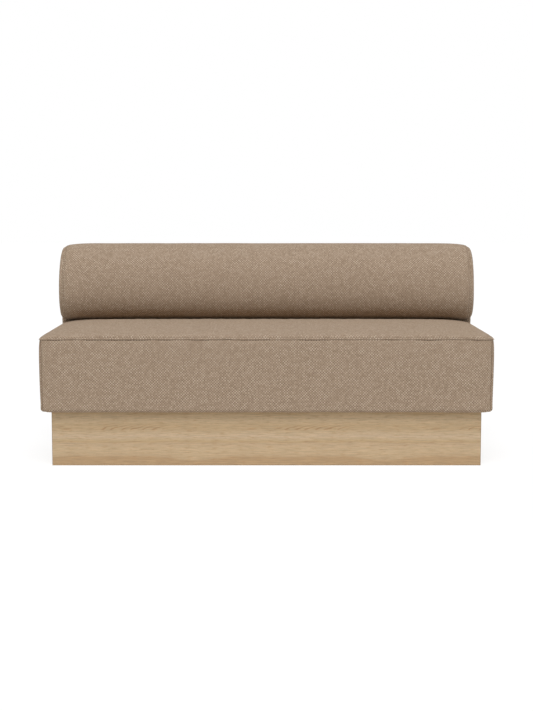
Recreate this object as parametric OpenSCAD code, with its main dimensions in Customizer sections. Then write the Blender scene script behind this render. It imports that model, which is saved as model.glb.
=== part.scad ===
// Dining sofa: a padded seat block and a roll-shaped back on a recessed oak plinth.
// X runs along the sofa, Y from front to rear, Z up. The origin is on the floor, under the middle.

/* [Seat] */
// Width of the seat between its side seams
seat_w = 1640; // [1200:10:2200]
// Depth of the seat block from its front seam to the rear of its cover
seat_d = 557; // [500:1:620]
// Height of the seat's front corner seams above the floor
seam_h = 466; // [430:1:520]
// How far the top cover rises inside its seams
seat_crown = 25; // [10:1:35]
// How far the front seam rises between its corners
front_lift = 2.5; // [0:0.5:6]
// How far the side seams rise behind their front corners
side_lift = 6; // [0:0.5:10]
// How far the borders swell past their seams
border_bulge = 5; // [2:0.5:10]
// How far the borders are drawn in at the bottom
drawn_in = 5; // [0:0.5:10]
// Radius of the border's bottom edge
edge_r = 12; // [6:0.5:16]

/* [Back] */
// How far the back's end seams stand inside the seat's side seams
back_inset = 10; // [4:1:30]
// Thickness of the upright stem from front to rear
stem_d = 107.7; // [100:0.1:150]
// How far the roll stands in front of the stem
roll_reach = 78; // [50:1:110]
// Height of the roll's underside above the seat's corner seams
roll_rest = 29; // [20:1:36]
// Height of the roll's foremost line above its underside
roll_under = 107; // [90:1:125]
// Height of the top above the roll's foremost line, at the end seams
roll_over = 184; // [150:1:220]
// Radius of the rear top edge
top_r = 46; // [25:1:60]
// How far the roll swells between its end seams
roll_fill = 12; // [4:1:18]
// How far the end panels swell past the roll's seams
end_crown = 14; // [6:1:20]
// How far the end panels swell past the stem's seams
stem_crown = 10; // [5:1:16]
// Clearance between the seat block and the back
back_gap = 0.3; // [0.2:0.1:3]

/* [Plinth] */
// Height of the plinth
plinth_h = 203; // [170:1:240]
// How far the plinth stands inside the seat's front and side seams
plinth_inset = 34.5; // [20:0.5:60]
// How far the plinth stands inside the back's rear
plinth_rear_inset = 40; // [20:1:60]
// Thickness of the plinth boards
plinth_t = 19; // [16:1:25]
// Distance of the seat battens from the middle
batten_x = 400; // [300:5:480]
// Width of a seat batten
batten_w = 70; // [50:1:90]
// Thickness of a seat batten
batten_t = 22; // [18:1:30]
// Side of a square corner block
block_w = 58; // [50:1:70]
// Height of a corner block
block_h = 130; // [120:1:140]
// Distance of the upper block screws below the block's top
screw_drop = 18; // [14:1:24]
// Height between the upper and the lower block screws
screw_pitch = 34; // [28:1:38]
// Height between the crossing screws of a pair
screw_stagger = 14; // [12:1:15]
// Distance of the block screws from the block's middle
screw_offset = 12; // [10:1:16]

/* [Levelling feet] */
// Diameter of a foot stud
stud_d = 10; // [8:1:12]
// How far a foot stud still stands past its insert when it is turned out
stud_spare = 16; // [4:1:20]
// How far a foot turns out
foot_travel = 12; // [5:1:15]
// Clearance of a foot pad above the floor at rest
pad_lift = 1.5; // [1:0.5:4]
// Diameter of a foot pad
pad_d = 44; // [36:1:50]
// Thickness of a foot pad
pad_t = 8; // [7:0.5:9]
// Diameter of the stud's round end in its pad
ball_d = 16; // [14:1:20]
// Thickness of the stud's round end
ball_t = 4; // [3:0.5:4.5]
// Thickness of the pad's lip over the stud's round end
lip_t = 1; // [0.5:0.1:1.4]
// Radial clearance of the stud in the pad's mouth
mouth_gap = 0.5; // [0.3:0.1:1.5]
// Diameter of the pad's top
pad_top_d = 26; // [24:1:32]
// Thickness of the stud's hexagon collar
collar_t = 6; // [4:0.5:10]
// Width of the collar across its corners
collar_d = 17; // [15:0.5:22]
// Clearance between the collar and the pad
collar_gap = 0.5; // [0.2:0.1:2]
// Clearance between the collar and the insert's flange at rest
foot_room = 2; // [1:0.5:8]
// Radial clearance of the stud in its insert and of its end in the pad
run_gap = 0.05; // [0.02:0.01:0.1]
// Length of the threaded insert
insert_len = 14; // [10:1:18]
// Wall of the threaded insert
insert_wall = 2; // [1.5:0.5:3]
// Diameter of the insert's flange
flange_d = 26; // [22:1:30]
// Thickness of the insert's flange
flange_t = 2; // [1.5:0.5:2.5]

/* [Frame] */
// Thickness of the seat rails
rail_t = 27; // [22:1:32]
// Height of the seat rails
rail_h = 87; // [75:1:95]
// Width of the seat's cross rails
cross_w = 45; // [35:1:55]
// Height of the seat's cross rails and corner blocks
cross_h = 60; // [50:1:70]
// Side of the seat's corner blocks
seat_block_w = 40; // [30:1:50]
// Width of the uprights and height of the back's top and middle rails
upright_w = 45; // [35:1:55]
// Height of the back's bottom rail
back_bottom_h = 90; // [80:1:95]
// Thickness of the back's front board
front_board_t = 9; // [6:1:12]
// Thickness of the back's rear board
rear_board_t = 4; // [3:0.5:6]
// Height of the mounting batten at the foot of the back
mount_h = 125; // [110:1:140]
// Depth of the frame's top below the top seams
frame_drop = 58; // [55:1:75]

/* [Padding] */
// Thickness of the covers with their backing
cover_t = 2; // [1:0.5:3]
// Clearance between a cover and the padding under it
pad_gap = 0.3; // [0.2:0.1:0.6]
// Clearance between two sewn covers
seam_gap = 0.2; // [0.1:0.1:0.4]
// Thickness of the foam round the seat's sides, at the seams
edge_foam = 17.5; // [17:0.5:24]
// Depth of the topper's underside below the corner seams
topper_edge = 14; // [12:1:20]
// Thickness of the end pads, at the seams
end_foam = 24; // [18:1:30]
// Thickness of the padding on the stem's front
stem_foam = 18; // [12:1:22]
// Thickness of the padding on the rear
rear_foam = 10; // [6:1:14]
// Width of a webbing strap
strap_w = 50; // [40:1:60]
// Thickness of a webbing strap
strap_t = 2; // [1.5:0.5:3]
// Number of straps from front to rear
straps_across = 9; // [7:1:11]
// Number of straps along the seat
straps_along = 4; // [3:1:5]
// How far the turned-under cover laps onto the plinth
flange_lap = 10; // [6:1:14]

/* [Fasteners] */
// Diameter of the frame bolts
bolt_d = 8; // [6:1:10]
// Radial clearance of the bolts
bolt_gap = 0.3; // [0.2:0.1:0.6]
// Diameter of the bolt heads
bolt_head_d = 14; // [13:1:18]
// Thickness of the bolt heads
bolt_head_t = 5; // [4:0.5:7]
// Diameter of the washers
washer_d = 22; // [20:1:26]
// Thickness of the washers
washer_t = 1.6; // [1.2:0.2:2.4]
// Length of the bolts' threaded sleeves
sleeve_len = 25; // [20:1:30]
// Diameter of the bolts' threaded sleeves
sleeve_d = 12; // [11:1:14]
// Room past the tip of a bolt or a foot stud
tip_room = 8; // [4:1:12]
// Diameter of the block screws
screw_d = 5; // [4:0.5:6]
// Length of the block screws in the plinth boards
screw_bite = 13; // [10:1:14]
// Diameter of the screw heads
screw_head_d = 9; // [8:0.5:11]
// Thickness of the screw heads
screw_head_t = 3; // [2:0.5:4]
// Distance of the seat bolts from the middle, front and rear
seat_bolt_y = 150; // [110:5:170]
// Distance of the inner back bolts from the middle
back_bolt_in = 200; // [100:5:300]
// Distance of the outer back bolts from the end seams
back_bolt_out = 130; // [110:5:200]

/* [Hidden] */

// Sides of a round piece, and how far a cut runs past a face
$fn = 48;
CUT = 1;

// Colours of the real finishes
OAK = "#cdb184";
PINE = "#d9bd8f";
PLY = "#c8a877";
FABRIC = "#a48f7b";
FOAM = "#e8dfc4";
WADDING = "#f2f0ea";
WEBBING = "#4a453f";
LINING = "#2b2a29";
STEEL = "#a9abad";
PLASTIC = "#2f3032";

// Places in plan, from the middle of the overall depth
seat_hw = seat_w / 2;
back_hw = seat_hw - back_inset;
total_d = border_bulge + seat_d + back_gap + stem_d;
front_y = -total_d / 2 + border_bulge;
seat_rear_y = front_y + seat_d;
seat_inner_y = seat_rear_y - cover_t;
stem_y = seat_rear_y + back_gap;
rear_y = total_d / 2;

// Levels
REAR_SEAM_DROP = 5;
low_z = plinth_h + cover_t;
core_top = seam_h - topper_edge;
rail_top = low_z + rail_h;
strap_top = rail_top + 2 * strap_t;
round_z = plinth_h + edge_r;
under_z = seam_h + roll_rest;
roll_mid_h = under_z + roll_under;
back_h = roll_mid_h + roll_over;
rear_seam_z = back_h - top_r - REAR_SEAM_DROP;
crest_y = rear_y - top_r;
frame_top = back_h - frame_drop;
mount_top = low_z + mount_h;
wrap_low = mount_top + pad_gap;

// Planes in the frame
rail_x = seat_hw - edge_foam;
rail_y = front_y + edge_foam;
pad_x = back_hw - end_foam;
board_y = stem_y + cover_t + stem_foam;
upright_y = board_y + front_board_t;
wadding_y = rear_y - cover_t - rear_foam;
rear_board_y = wadding_y - rear_board_t;

// Levelling feet, from the floor up
ball_z = pad_lift + pad_t - ball_t - lip_t;
collar_z = pad_lift + pad_t + collar_gap;
block_low = collar_z + collar_t + foot_room + flange_t;
stud_top = block_low + insert_len + foot_travel + stud_spare;
insert_r = stud_d / 2 + run_gap + insert_wall;

// Plinth
plinth_hw = seat_hw - plinth_inset;
plinth_front_y = front_y + plinth_inset;
plinth_rear_y = rear_y - plinth_rear_inset;
foot_x = plinth_hw - plinth_t - block_w / 2;
foot_front_y = plinth_front_y + plinth_t + block_w / 2;
foot_rear_y = plinth_rear_y - plinth_t - block_w / 2;

// How quickly a padded surface rises inside a seam
SEAM_REACH = 12;
SLOW_REACH = 90;
QUICK_SHARE = 0.48;
LIFT_REACH = 60;
CORNER_REACH = 15;
ROLL_REACH = 27;
END_REACH = 10;
REAR_REACH = 8;
REAR_DROP = 0.5;
function puff(d, reach) = 1 - exp(-max(d, 0) / reach);
function rise(d) = QUICK_SHARE * puff(d, SEAM_REACH) + (1 - QUICK_SHARE) * puff(d, SLOW_REACH);

// Height of the seat's top cover
function seat_top(x, y) =
  let (side = seat_hw - abs(x), ahead = y - front_y, behind = seat_inner_y - y)
    seam_h + front_lift * puff(side, LIFT_REACH) + side_lift * puff(ahead, LIFT_REACH)
    + seat_crown * rise(side) * rise(ahead) * (1 - REAR_DROP * exp(-max(behind, 0) / REAR_REACH));

// Stations across a padded panel of half-width h: close together at the seams. The roll has the seat's own,
// and one where its foam ends, so that facets which lie on each other share their edges
LEAST_STEP = 5;
SEAM_STEPS = [0, 6, 16, 34, 70, 140, 300];
SEAM_REAR_STEPS = [70, 20, 0];
BORDER_STEPS = [0, 6, 16, 34, 140];
BORDER_REAR_STEPS = [140, 34, 12, 0];
ROLL_STEPS = concat(
  [0, 8, end_foam],
  [for (s = SEAM_STEPS) if (s - back_inset > end_foam + LEAST_STEP) s - back_inset]
);
function stations(h, steps) = concat(
  [for (s = steps) if (s < h) s - h], [0],
  [for (i = [len(steps) - 1 : -1 : 0]) if (steps[i] < h) h - steps[i]]
);
SEAT_X = stations(seat_hw, SEAM_STEPS);
SEAT_Y = concat([for (s = SEAM_STEPS) front_y + s], [for (s = SEAM_REAR_STEPS) seat_inner_y - s]);
BORDER_X = stations(seat_hw, BORDER_STEPS);
BORDER_Y = concat([for (s = BORDER_STEPS) front_y + s], [for (s = BORDER_REAR_STEPS) seat_inner_y - s]);
ROLL_X = stations(back_hw, ROLL_STEPS);

// A closed thin piece between two grids of points, rows by columns, seen from its outer side
function grid_faces(rows, cols) = [
  for (r = [0 : rows - 2], c = [0 : cols - 2]) each [
    [r * cols + c, (r + 1) * cols + c, (r + 1) * cols + c + 1],
    [r * cols + c, (r + 1) * cols + c + 1, r * cols + c + 1]
  ]
];
function grid_rim(rows, cols) = concat(
  [for (c = [0 : cols - 2]) c],
  [for (r = [0 : rows - 2]) r * cols + cols - 1],
  [for (c = [cols - 1 : -1 : 1]) (rows - 1) * cols + c],
  [for (r = [rows - 1 : -1 : 1]) r * cols]
);
module thick_sheet(outer, inner, faces, rim) {
  n = len(outer);
  polyhedron(
    points = concat(outer, inner),
    faces = concat(
      faces,
      [for (f = faces) [f[2] + n, f[1] + n, f[0] + n]],
      [for (i = [0 : len(rim) - 1]) let (a = rim[i], b = rim[(i + 1) % len(rim)]) each [
        [a, b, b + n], [a, b + n, a + n]
      ]]
    )
  );
}
module thick_grid(outer, inner) {
  rows = len(outer);
  cols = len(outer[0]);
  thick_sheet(
    [for (r = outer) each r], [for (r = inner) each r],
    grid_faces(rows, cols), grid_rim(rows, cols)
  );
}
module box(x0, x1, y0, y1, z0, z1) {
  translate([x0, y0, z0]) cube([x1 - x0, y1 - y0, z1 - z0]);
}
module at_sides(xs) {
  for (x = xs) translate([x, 0, 0]) children();
}

// Plinth: four mitred boards, two battens, a centre rail and four corner blocks
module mitred_board(half, y, t, h) {
  linear_extrude(h) polygon([[-half, y], [half, y], [half - abs(t), y + t], [abs(t) - half, y + t]]);
}
module block_screw_places() {
  upper = block_low + block_h - screw_drop;
  for (sx = [-1, 1], end = [0, 1], level = [0, 1])
    translate([sx * foot_x, end ? foot_rear_y : foot_front_y, upper - screw_pitch * level])
      mirror([sx < 0 ? 1 : 0, 0, 0]) mirror([0, end ? 0 : 1, 0]) children();
}
module block_screw(lead, length, d) {
  block_screw_places() {
    translate([-block_w / 2 - lead, screw_offset, 0]) rotate([0, 90, 0]) cylinder(h = length, d = d, $fn = 24);
    translate([screw_offset, -block_w / 2 - lead, screw_stagger]) rotate([-90, 0, 0])
      cylinder(h = length, d = d, $fn = 24);
  }
}
module block_screws() {
  block_screw(0, block_w + screw_bite, screw_d);
}
module plinth_front_panel() {
  color(OAK) difference() {
    mitred_board(plinth_hw, plinth_front_y, plinth_t, plinth_h);
    block_screws();
  }
}
module plinth_rear_panel() {
  color(OAK) difference() {
    mitred_board(plinth_hw, plinth_rear_y, -plinth_t, plinth_h);
    block_screws();
  }
}
module plinth_side_board() {
  linear_extrude(plinth_h) polygon([
    [-plinth_hw, plinth_front_y], [plinth_t - plinth_hw, plinth_front_y + plinth_t],
    [plinth_t - plinth_hw, plinth_rear_y - plinth_t], [-plinth_hw, plinth_rear_y]
  ]);
}
module plinth_left_panel() {
  color(OAK) difference() {
    plinth_side_board();
    block_screws();
  }
}
module plinth_right_panel() {
  color(OAK) difference() {
    mirror([1, 0, 0]) plinth_side_board();
    block_screws();
  }
}
module plinth_batten(x) {
  difference() {
    box(x - batten_w / 2, x + batten_w / 2, plinth_front_y + plinth_t, plinth_rear_y - plinth_t,
        plinth_h - batten_t, plinth_h);
    seat_bolt_holes();
  }
}
module plinth_left_batten() {
  color(PINE) plinth_batten(-batten_x);
}
module plinth_right_batten() {
  color(PINE) plinth_batten(batten_x);
}
module plinth_centre_rail() {
  color(PINE) box(-plinth_t / 2, plinth_t / 2, plinth_front_y + plinth_t, plinth_rear_y - plinth_t,
                  block_low, plinth_h);
}
module plinth_corner_blocks() {
  color(PINE) difference() {
    for (x = [-foot_x, foot_x], y = [foot_front_y, foot_rear_y])
      translate([x - block_w / 2, y - block_w / 2, block_low]) cube([block_w, block_w, block_h]);
    at_feet() translate([0, 0, block_low - CUT])
      cylinder(h = stud_top + tip_room - block_low + CUT, r = insert_r);
    block_screws();
  }
}
module plinth_block_screws() {
  color(STEEL) {
    block_screws();
    block_screw(screw_head_t, screw_head_t, screw_head_d);
  }
}

// Levelling feet: a flanged insert in each block, a stud turning in it, and a swivel pad
module at_feet() {
  for (x = [-foot_x, foot_x], y = [foot_front_y, foot_rear_y]) translate([x, y, 0]) children();
}
module foot_inserts() {
  color(STEEL) at_feet() difference() {
    union() {
      translate([0, 0, block_low - flange_t]) cylinder(h = flange_t, d = flange_d);
      translate([0, 0, block_low]) cylinder(h = insert_len, r = insert_r);
    }
    translate([0, 0, block_low - flange_t - CUT])
      cylinder(h = insert_len + flange_t + 2 * CUT, d = stud_d + 2 * run_gap);
  }
}
module foot_pad(x, y) {
  color(PLASTIC) translate([x, y, pad_lift]) difference() {
    union() {
      cylinder(h = pad_t / 2, d = pad_d);
      translate([0, 0, pad_t / 2]) cylinder(h = pad_t / 2, d1 = pad_d, d2 = pad_top_d);
    }
    translate([0, 0, ball_z - pad_lift - run_gap]) cylinder(h = ball_t + 2 * run_gap, d = ball_d + 2 * run_gap);
    translate([0, 0, ball_z - pad_lift]) cylinder(h = pad_t, d = stud_d + 2 * mouth_gap);
  }
}
module foot_stud(x, y) {
  color(STEEL) translate([x, y, 0]) {
    translate([0, 0, ball_z]) cylinder(h = ball_t, d = ball_d);
    translate([0, 0, ball_z]) cylinder(h = stud_top - ball_z, d = stud_d);
    translate([0, 0, collar_z]) cylinder(h = collar_t, d = collar_d, $fn = 6);
  }
}
module foot_pad_front_left() { foot_pad(-foot_x, foot_front_y); }
module foot_pad_front_right() { foot_pad(foot_x, foot_front_y); }
module foot_pad_rear_left() { foot_pad(-foot_x, foot_rear_y); }
module foot_pad_rear_right() { foot_pad(foot_x, foot_rear_y); }
module foot_stud_front_left() { foot_stud(-foot_x, foot_front_y); }
module foot_stud_front_right() { foot_stud(foot_x, foot_front_y); }
module foot_stud_rear_left() { foot_stud(-foot_x, foot_rear_y); }
module foot_stud_rear_right() { foot_stud(foot_x, foot_rear_y); }

// Seat frame: a glued box of rails with cross rails, corner blocks and webbing
module seat_front_rail() {
  color(PINE) box(-rail_x, rail_x, rail_y, rail_y + rail_t, low_z, rail_top);
}
module seat_rear_rail() {
  color(PINE) difference() {
    box(-rail_x, rail_x, seat_inner_y - rail_t, seat_inner_y, low_z, rail_top);
    back_bolt_holes();
  }
}
module seat_side_rail() {
  box(-rail_x, rail_t - rail_x, rail_y + rail_t, seat_inner_y - rail_t, low_z, rail_top);
}
module seat_left_rail() {
  color(PINE) seat_side_rail();
}
module seat_right_rail() {
  color(PINE) mirror([1, 0, 0]) seat_side_rail();
}
module seat_cross_rails() {
  color(PINE) difference() {
    at_sides([-batten_x, 0, batten_x])
      box(-cross_w / 2, cross_w / 2, rail_y + rail_t, seat_inner_y - rail_t, low_z, low_z + cross_h);
    seat_sleeve_places() cylinder(h = sleeve_len + tip_room, d = sleeve_d);
  }
}
module seat_corner_blocks() {
  front = rail_y + rail_t;
  rear = seat_inner_y - rail_t - seat_block_w;
  color(PINE) for (sx = [0, 1], y = [front, rear]) mirror([sx, 0, 0])
    translate([rail_t - rail_x, y, low_z]) cube([seat_block_w, seat_block_w, cross_h]);
}
module seat_webbing_across() {
  span = 2 * rail_x - 3 * strap_w;
  color(WEBBING) for (i = [0 : straps_across - 1]) {
    x = -span / 2 + span * i / (straps_across - 1);
    box(x - strap_w / 2, x + strap_w / 2, rail_y, seat_inner_y, rail_top, rail_top + strap_t);
  }
}
module seat_webbing_along() {
  depth = seat_inner_y - rail_y;
  color(WEBBING) for (i = [1 : straps_along]) {
    y = rail_y + depth * i / (straps_along + 1);
    box(-rail_x, rail_x, y - strap_w / 2, y + strap_w / 2, rail_top + strap_t, strap_top);
  }
}

// Bolts up through the plinth battens into the seat's cross rails
module seat_bolt_grid(z) {
  for (x = [-batten_x, batten_x], y = [-seat_bolt_y, seat_bolt_y]) translate([x, y, z]) children();
}
module seat_bolt_places() {
  seat_bolt_grid(plinth_h - batten_t) children();
}
module seat_bolt_holes() {
  seat_bolt_places() translate([0, 0, -CUT])
    cylinder(h = batten_t + cover_t + 2 * CUT, d = bolt_d + 2 * bolt_gap);
}
module seat_sleeve_places() {
  seat_bolt_grid(low_z) children();
}
module frame_bolt(length) {
  cylinder(h = length, d = bolt_d);
  translate([0, 0, -washer_t]) cylinder(h = washer_t, d = washer_d);
  translate([0, 0, -washer_t - bolt_head_t]) cylinder(h = bolt_head_t, d = bolt_head_d, $fn = 6);
}
module bolt_sleeve() {
  difference() {
    cylinder(h = sleeve_len, d = sleeve_d);
    translate([0, 0, -CUT]) cylinder(h = sleeve_len + 2 * CUT, d = bolt_d);
  }
}
module seat_bolts() {
  color(STEEL) seat_bolt_places() frame_bolt(batten_t + cover_t + sleeve_len);
}
module seat_bolt_sleeves() {
  color(STEEL) seat_sleeve_places() bolt_sleeve();
}

// Seat borders: one profile of [outward, height], from the top seam down and under the frame
BORDER_T = [0, 0.04, 0.12, 0.3, 0.5, 0.75, 1];
BORDER_SWELL = [0, 0.6, 1, 1, 1, 0.85, 0.6];
EDGE_TURN = [30, 60, 90];
LEAST_FOAM = 0.5;
function side_row(i, w, z_top, c) = let (t = BORDER_T[i]) [
  border_bulge * BORDER_SWELL[i] * w - drawn_in * t * t - c,
  z_top - t * (z_top - round_z) - (i == 0 ? c : 0)
];
function edge_row(a, w, c) = [
  border_bulge * BORDER_SWELL[6] * w - drawn_in - edge_r + (edge_r - c) * cos(a),
  round_z - (edge_r - c) * sin(a)
];
function cover_rows(w, z_top, c) = concat(
  [for (i = [0 : 6]) side_row(i, w, z_top, c)],
  [for (a = EDGE_TURN) edge_row(a, w, c)],
  [[-plinth_inset - flange_lap, plinth_h + c]]
);
function foam_rows(w, z_top, c) = concat(
  [[border_bulge * BORDER_SWELL[1] * w - c, core_top]],
  [for (i = [2 : 6]) side_row(i, w, z_top, c)],
  [for (a = EDGE_TURN) let (e = edge_row(a, w, c)) [max(e[0], LEAST_FOAM - edge_foam), e[1]]]
);
function front_w(x) = puff(seat_hw - abs(x), CORNER_REACH);
function side_w(y) = puff(y - front_y, CORNER_REACH) * puff(seat_inner_y - y, CORNER_REACH);
function front_seam(x) = seam_h + front_lift * puff(seat_hw - abs(x), LIFT_REACH);
function side_seam(y) = seam_h + side_lift * puff(y - front_y, LIFT_REACH);

// A border's grid, one column for each station; flat gives the plane that it is padded out from
function front_column(x, rows, corner) = [
  for (i = [0 : len(rows) - 1]) [x / seat_hw * (seat_hw + corner[i][0]), front_y - rows[i][0], rows[i][1]]
];
function side_column(y, rows, corner) = let (v = (seat_inner_y - y) / (seat_inner_y - front_y)) [
  for (i = [0 : len(rows) - 1])
    [-seat_hw - rows[i][0], seat_inner_y - v * (seat_inner_y - front_y + corner[i][0]), rows[i][1]]
];
function flattened(rows) = [for (r = rows) [-edge_foam, r[1]]];
foam_c = cover_t + pad_gap;
function front_cover(c) = [
  for (x = BORDER_X) front_column(x, cover_rows(front_w(x), front_seam(x), c), cover_rows(0, seam_h, c))
];
function side_cover(c) = [
  for (i = [len(BORDER_Y) - 1 : -1 : 0]) let (y = BORDER_Y[i])
    side_column(y, cover_rows(side_w(y), side_seam(y), c), cover_rows(0, seam_h, c))
];
module seat_cover_front() {
  color(FABRIC) thick_grid(front_cover(0), front_cover(cover_t));
}
module seat_side_cover() {
  thick_grid(side_cover(0), side_cover(cover_t));
}
module seat_cover_left() {
  color(FABRIC) seat_side_cover();
}
module seat_cover_right() {
  color(FABRIC) mirror([1, 0, 0]) seat_side_cover();
}
CORNER_FOAM = foam_rows(0, seam_h, foam_c);
FRONT_FOAM = [for (x = BORDER_X) foam_rows(front_w(x), front_seam(x), foam_c)];
SIDE_FOAM = [for (y = BORDER_Y) foam_rows(side_w(y), side_seam(y), foam_c)];
module seat_edge_foam_front() {
  color(FOAM) thick_grid(
    [for (i = [0 : len(BORDER_X) - 1]) front_column(BORDER_X[i], FRONT_FOAM[i], CORNER_FOAM)],
    [for (i = [0 : len(BORDER_X) - 1])
      front_column(BORDER_X[i], flattened(FRONT_FOAM[i]), flattened(CORNER_FOAM))]
  );
}
module seat_side_foam() {
  thick_grid(
    [for (i = [len(BORDER_Y) - 1 : -1 : 0]) side_column(BORDER_Y[i], SIDE_FOAM[i], CORNER_FOAM)],
    [for (i = [len(BORDER_Y) - 1 : -1 : 0])
      side_column(BORDER_Y[i], flattened(SIDE_FOAM[i]), flattened(CORNER_FOAM))]
  );
}
module seat_edge_foam_left() {
  color(FOAM) seat_side_foam();
}
module seat_edge_foam_right() {
  color(FOAM) mirror([1, 0, 0]) seat_side_foam();
}

// Seat padding and top cover
function inset_x(x, c) = max(min(x, seat_hw - c), c - seat_hw);
function top_row(y, c, z_extra) = [
  for (x = SEAT_X) [inset_x(x, c), max(y, front_y + c), seat_top(x, y) + z_extra]
];
module seat_foam_core() {
  color(FOAM) box(-rail_x, rail_x, rail_y, seat_inner_y, strap_top, core_top);
}
module seat_topper() {
  c = foam_c + pad_gap;
  color(WADDING) thick_grid(
    [for (y = SEAT_Y) top_row(y, c, -foam_c)],
    [for (y = SEAT_Y) [for (p = top_row(y, c, 0)) [p[0], p[1], core_top]]]
  );
}
module seat_cover_top() {
  color(FABRIC) thick_grid(
    [for (y = SEAT_Y) top_row(y, 0, seam_gap)],
    [for (y = SEAT_Y) top_row(y, cover_t, seam_gap - cover_t)]
  );
}
module seat_cover_rear() {
  edge = cover_rows(0, side_seam(seat_inner_y), 0);
  outline = concat(
    [for (i = [len(edge) - 2 : -1 : 1]) [-seat_hw - edge[i][0], edge[i][1]]],
    [for (x = SEAT_X) [x, seat_top(x, seat_inner_y)]],
    [for (i = [1 : len(edge) - 2]) [seat_hw + edge[i][0], edge[i][1]]]
  );
  color(FABRIC) difference() {
    translate([0, seat_rear_y, 0]) rotate([90, 0, 0]) linear_extrude(cover_t) polygon(outline);
    back_bolt_holes();
  }
}
module seat_dust_cover() {
  half = seat_hw - plinth_inset - flange_lap;
  color(LINING) difference() {
    box(-half, half, front_y + plinth_inset + flange_lap, seat_inner_y, plinth_h, low_z);
    seat_bolt_holes();
  }
}

// Back frame: a ladder of uprights and rails between two boards
module back_upright(x) {
  half = upright_w / 2;
  box(x - half, x + half, upright_y, rear_board_y, low_z + back_bottom_h, frame_top - upright_w);
}
module back_left_upright() {
  color(PINE) back_upright(upright_w / 2 - pad_x);
}
module back_right_upright() {
  color(PINE) back_upright(pad_x - upright_w / 2);
}
module back_centre_upright() {
  color(PINE) back_upright(0);
}
module back_top_rail() {
  color(PINE) box(-pad_x, pad_x, upright_y, rear_board_y, frame_top - upright_w, frame_top);
}
module back_middle_rails() {
  color(PINE) for (sx = [0, 1]) mirror([sx, 0, 0])
    box(upright_w / 2, pad_x - upright_w, upright_y, rear_board_y, under_z - upright_w, under_z);
}
module back_bottom_rail() {
  color(PINE) difference() {
    box(-pad_x, pad_x, upright_y, rear_board_y, low_z, low_z + back_bottom_h);
    back_sleeve_places() cylinder(h = sleeve_len + tip_room, d = sleeve_d);
  }
}
module back_front_board() {
  color(PLY) difference() {
    box(-pad_x, pad_x, board_y, upright_y, low_z, frame_top);
    back_bolt_holes();
  }
}
module back_rear_board() {
  color(PLY) box(-pad_x, pad_x, rear_board_y, wadding_y, low_z, frame_top);
}
module back_mounting_batten() {
  color(PLY) difference() {
    box(-pad_x, pad_x, stem_y, board_y, low_z, mount_top);
    back_bolt_holes();
  }
}

// Bolts from inside the seat frame into the back's bottom rail
back_bolt_z = low_z + back_bottom_h / 2;
back_bolt_span = upright_y - seat_inner_y + rail_t;
module back_bolt_rows() {
  outer = back_hw - back_bolt_out;
  at_sides([-outer, -back_bolt_in, back_bolt_in, outer]) children();
}
module back_bolt_places() {
  back_bolt_rows() translate([0, seat_inner_y - rail_t, back_bolt_z]) rotate([-90, 0, 0]) children();
}
module back_bolt_holes() {
  back_bolt_places() translate([0, 0, -CUT]) cylinder(h = back_bolt_span + 2 * CUT, d = bolt_d + 2 * bolt_gap);
}
module back_sleeve_places() {
  back_bolt_rows() translate([0, upright_y, back_bolt_z]) rotate([-90, 0, 0]) children();
}
module back_bolts() {
  color(STEEL) back_bolt_places() frame_bolt(back_bolt_span + sleeve_len);
}
module back_bolt_sleeves() {
  color(STEEL) back_sleeve_places() bolt_sleeve();
}

// Outline of the back's end: the roll's underside from -90, its front at 0, the crest at 90, the rear at 180
TURN = 15;
crest_reach = crest_y - stem_y + roll_reach;
function outline(s) =
  s < 0 ? [stem_y - roll_reach * cos(s), roll_mid_h + roll_under * sin(s)]
  : s < 90 ? [crest_y - crest_reach * cos(s), roll_mid_h + roll_over * sin(s)]
  : [crest_y + top_r * sin(s - 90), back_h - top_r + top_r * cos(s - 90)];
function unit(v) = v / norm(v);
function outward(s) =
  s <= -90 ? [-1, -1]
  : s < 0 ? unit([-cos(s) / roll_reach, sin(s) / roll_under])
  : s < 90 ? unit([-cos(s) / crest_reach, sin(s) / roll_over])
  : [sin(s - 90), cos(s - 90)];
// Share of the fill round the roll: it comes in over the underside and is gone at the rear
function fill_share(s) = s < -60 ? (s + 90) / 30 : s > 90 ? min(1, 2 * pow(cos(s - 90), 2)) : 1;

// The roll's section at x, moved in by c, and lifted where it rests on the seat
function roll_point(s, x, c) =
  let (
    p = outline(s), n = outward(s),
    b = s <= -90 ? 0 : roll_fill * puff(back_hw - abs(x), ROLL_REACH) * fill_share(s),
    y = p[0] + b * n[0], z = p[1] + b * n[1],
    lift = s > -30 ? 0 : max(0, seat_top(x, min(y, seat_inner_y)) + seam_gap + pad_gap - z)
  ) [y - c * n[0], z - c * n[1] + lift];
function wrap_column(x, c) =
  let (xe = max(min(x, back_hw - c), c - back_hw)) concat(
    [[xe, stem_y + c, wrap_low], [xe, stem_y + c, (wrap_low + under_z) / 2]],
    [for (s = [-90 : TURN : 180]) let (p = roll_point(s, x, c)) [xe, p[0], p[1]]],
    [[xe, rear_y - c, rear_seam_z]]
  );
module back_cover_front() {
  color(FABRIC) thick_grid(
    [for (i = [len(ROLL_X) - 1 : -1 : 0]) wrap_column(ROLL_X[i], 0)],
    [for (i = [len(ROLL_X) - 1 : -1 : 0]) wrap_column(ROLL_X[i], cover_t)]
  );
}
FOAM_X = [for (x = ROLL_X) if (abs(x) <= pad_x) x];
function foam_section(x) = concat(
  [for (s = [-90 : TURN : 180]) let (p = roll_point(s, x, foam_c)) [x, p[0], p[1]]],
  [[x, rear_y - foam_c, frame_top], [x, board_y, under_z + foam_c], [x, board_y, frame_top]]
);
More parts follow.
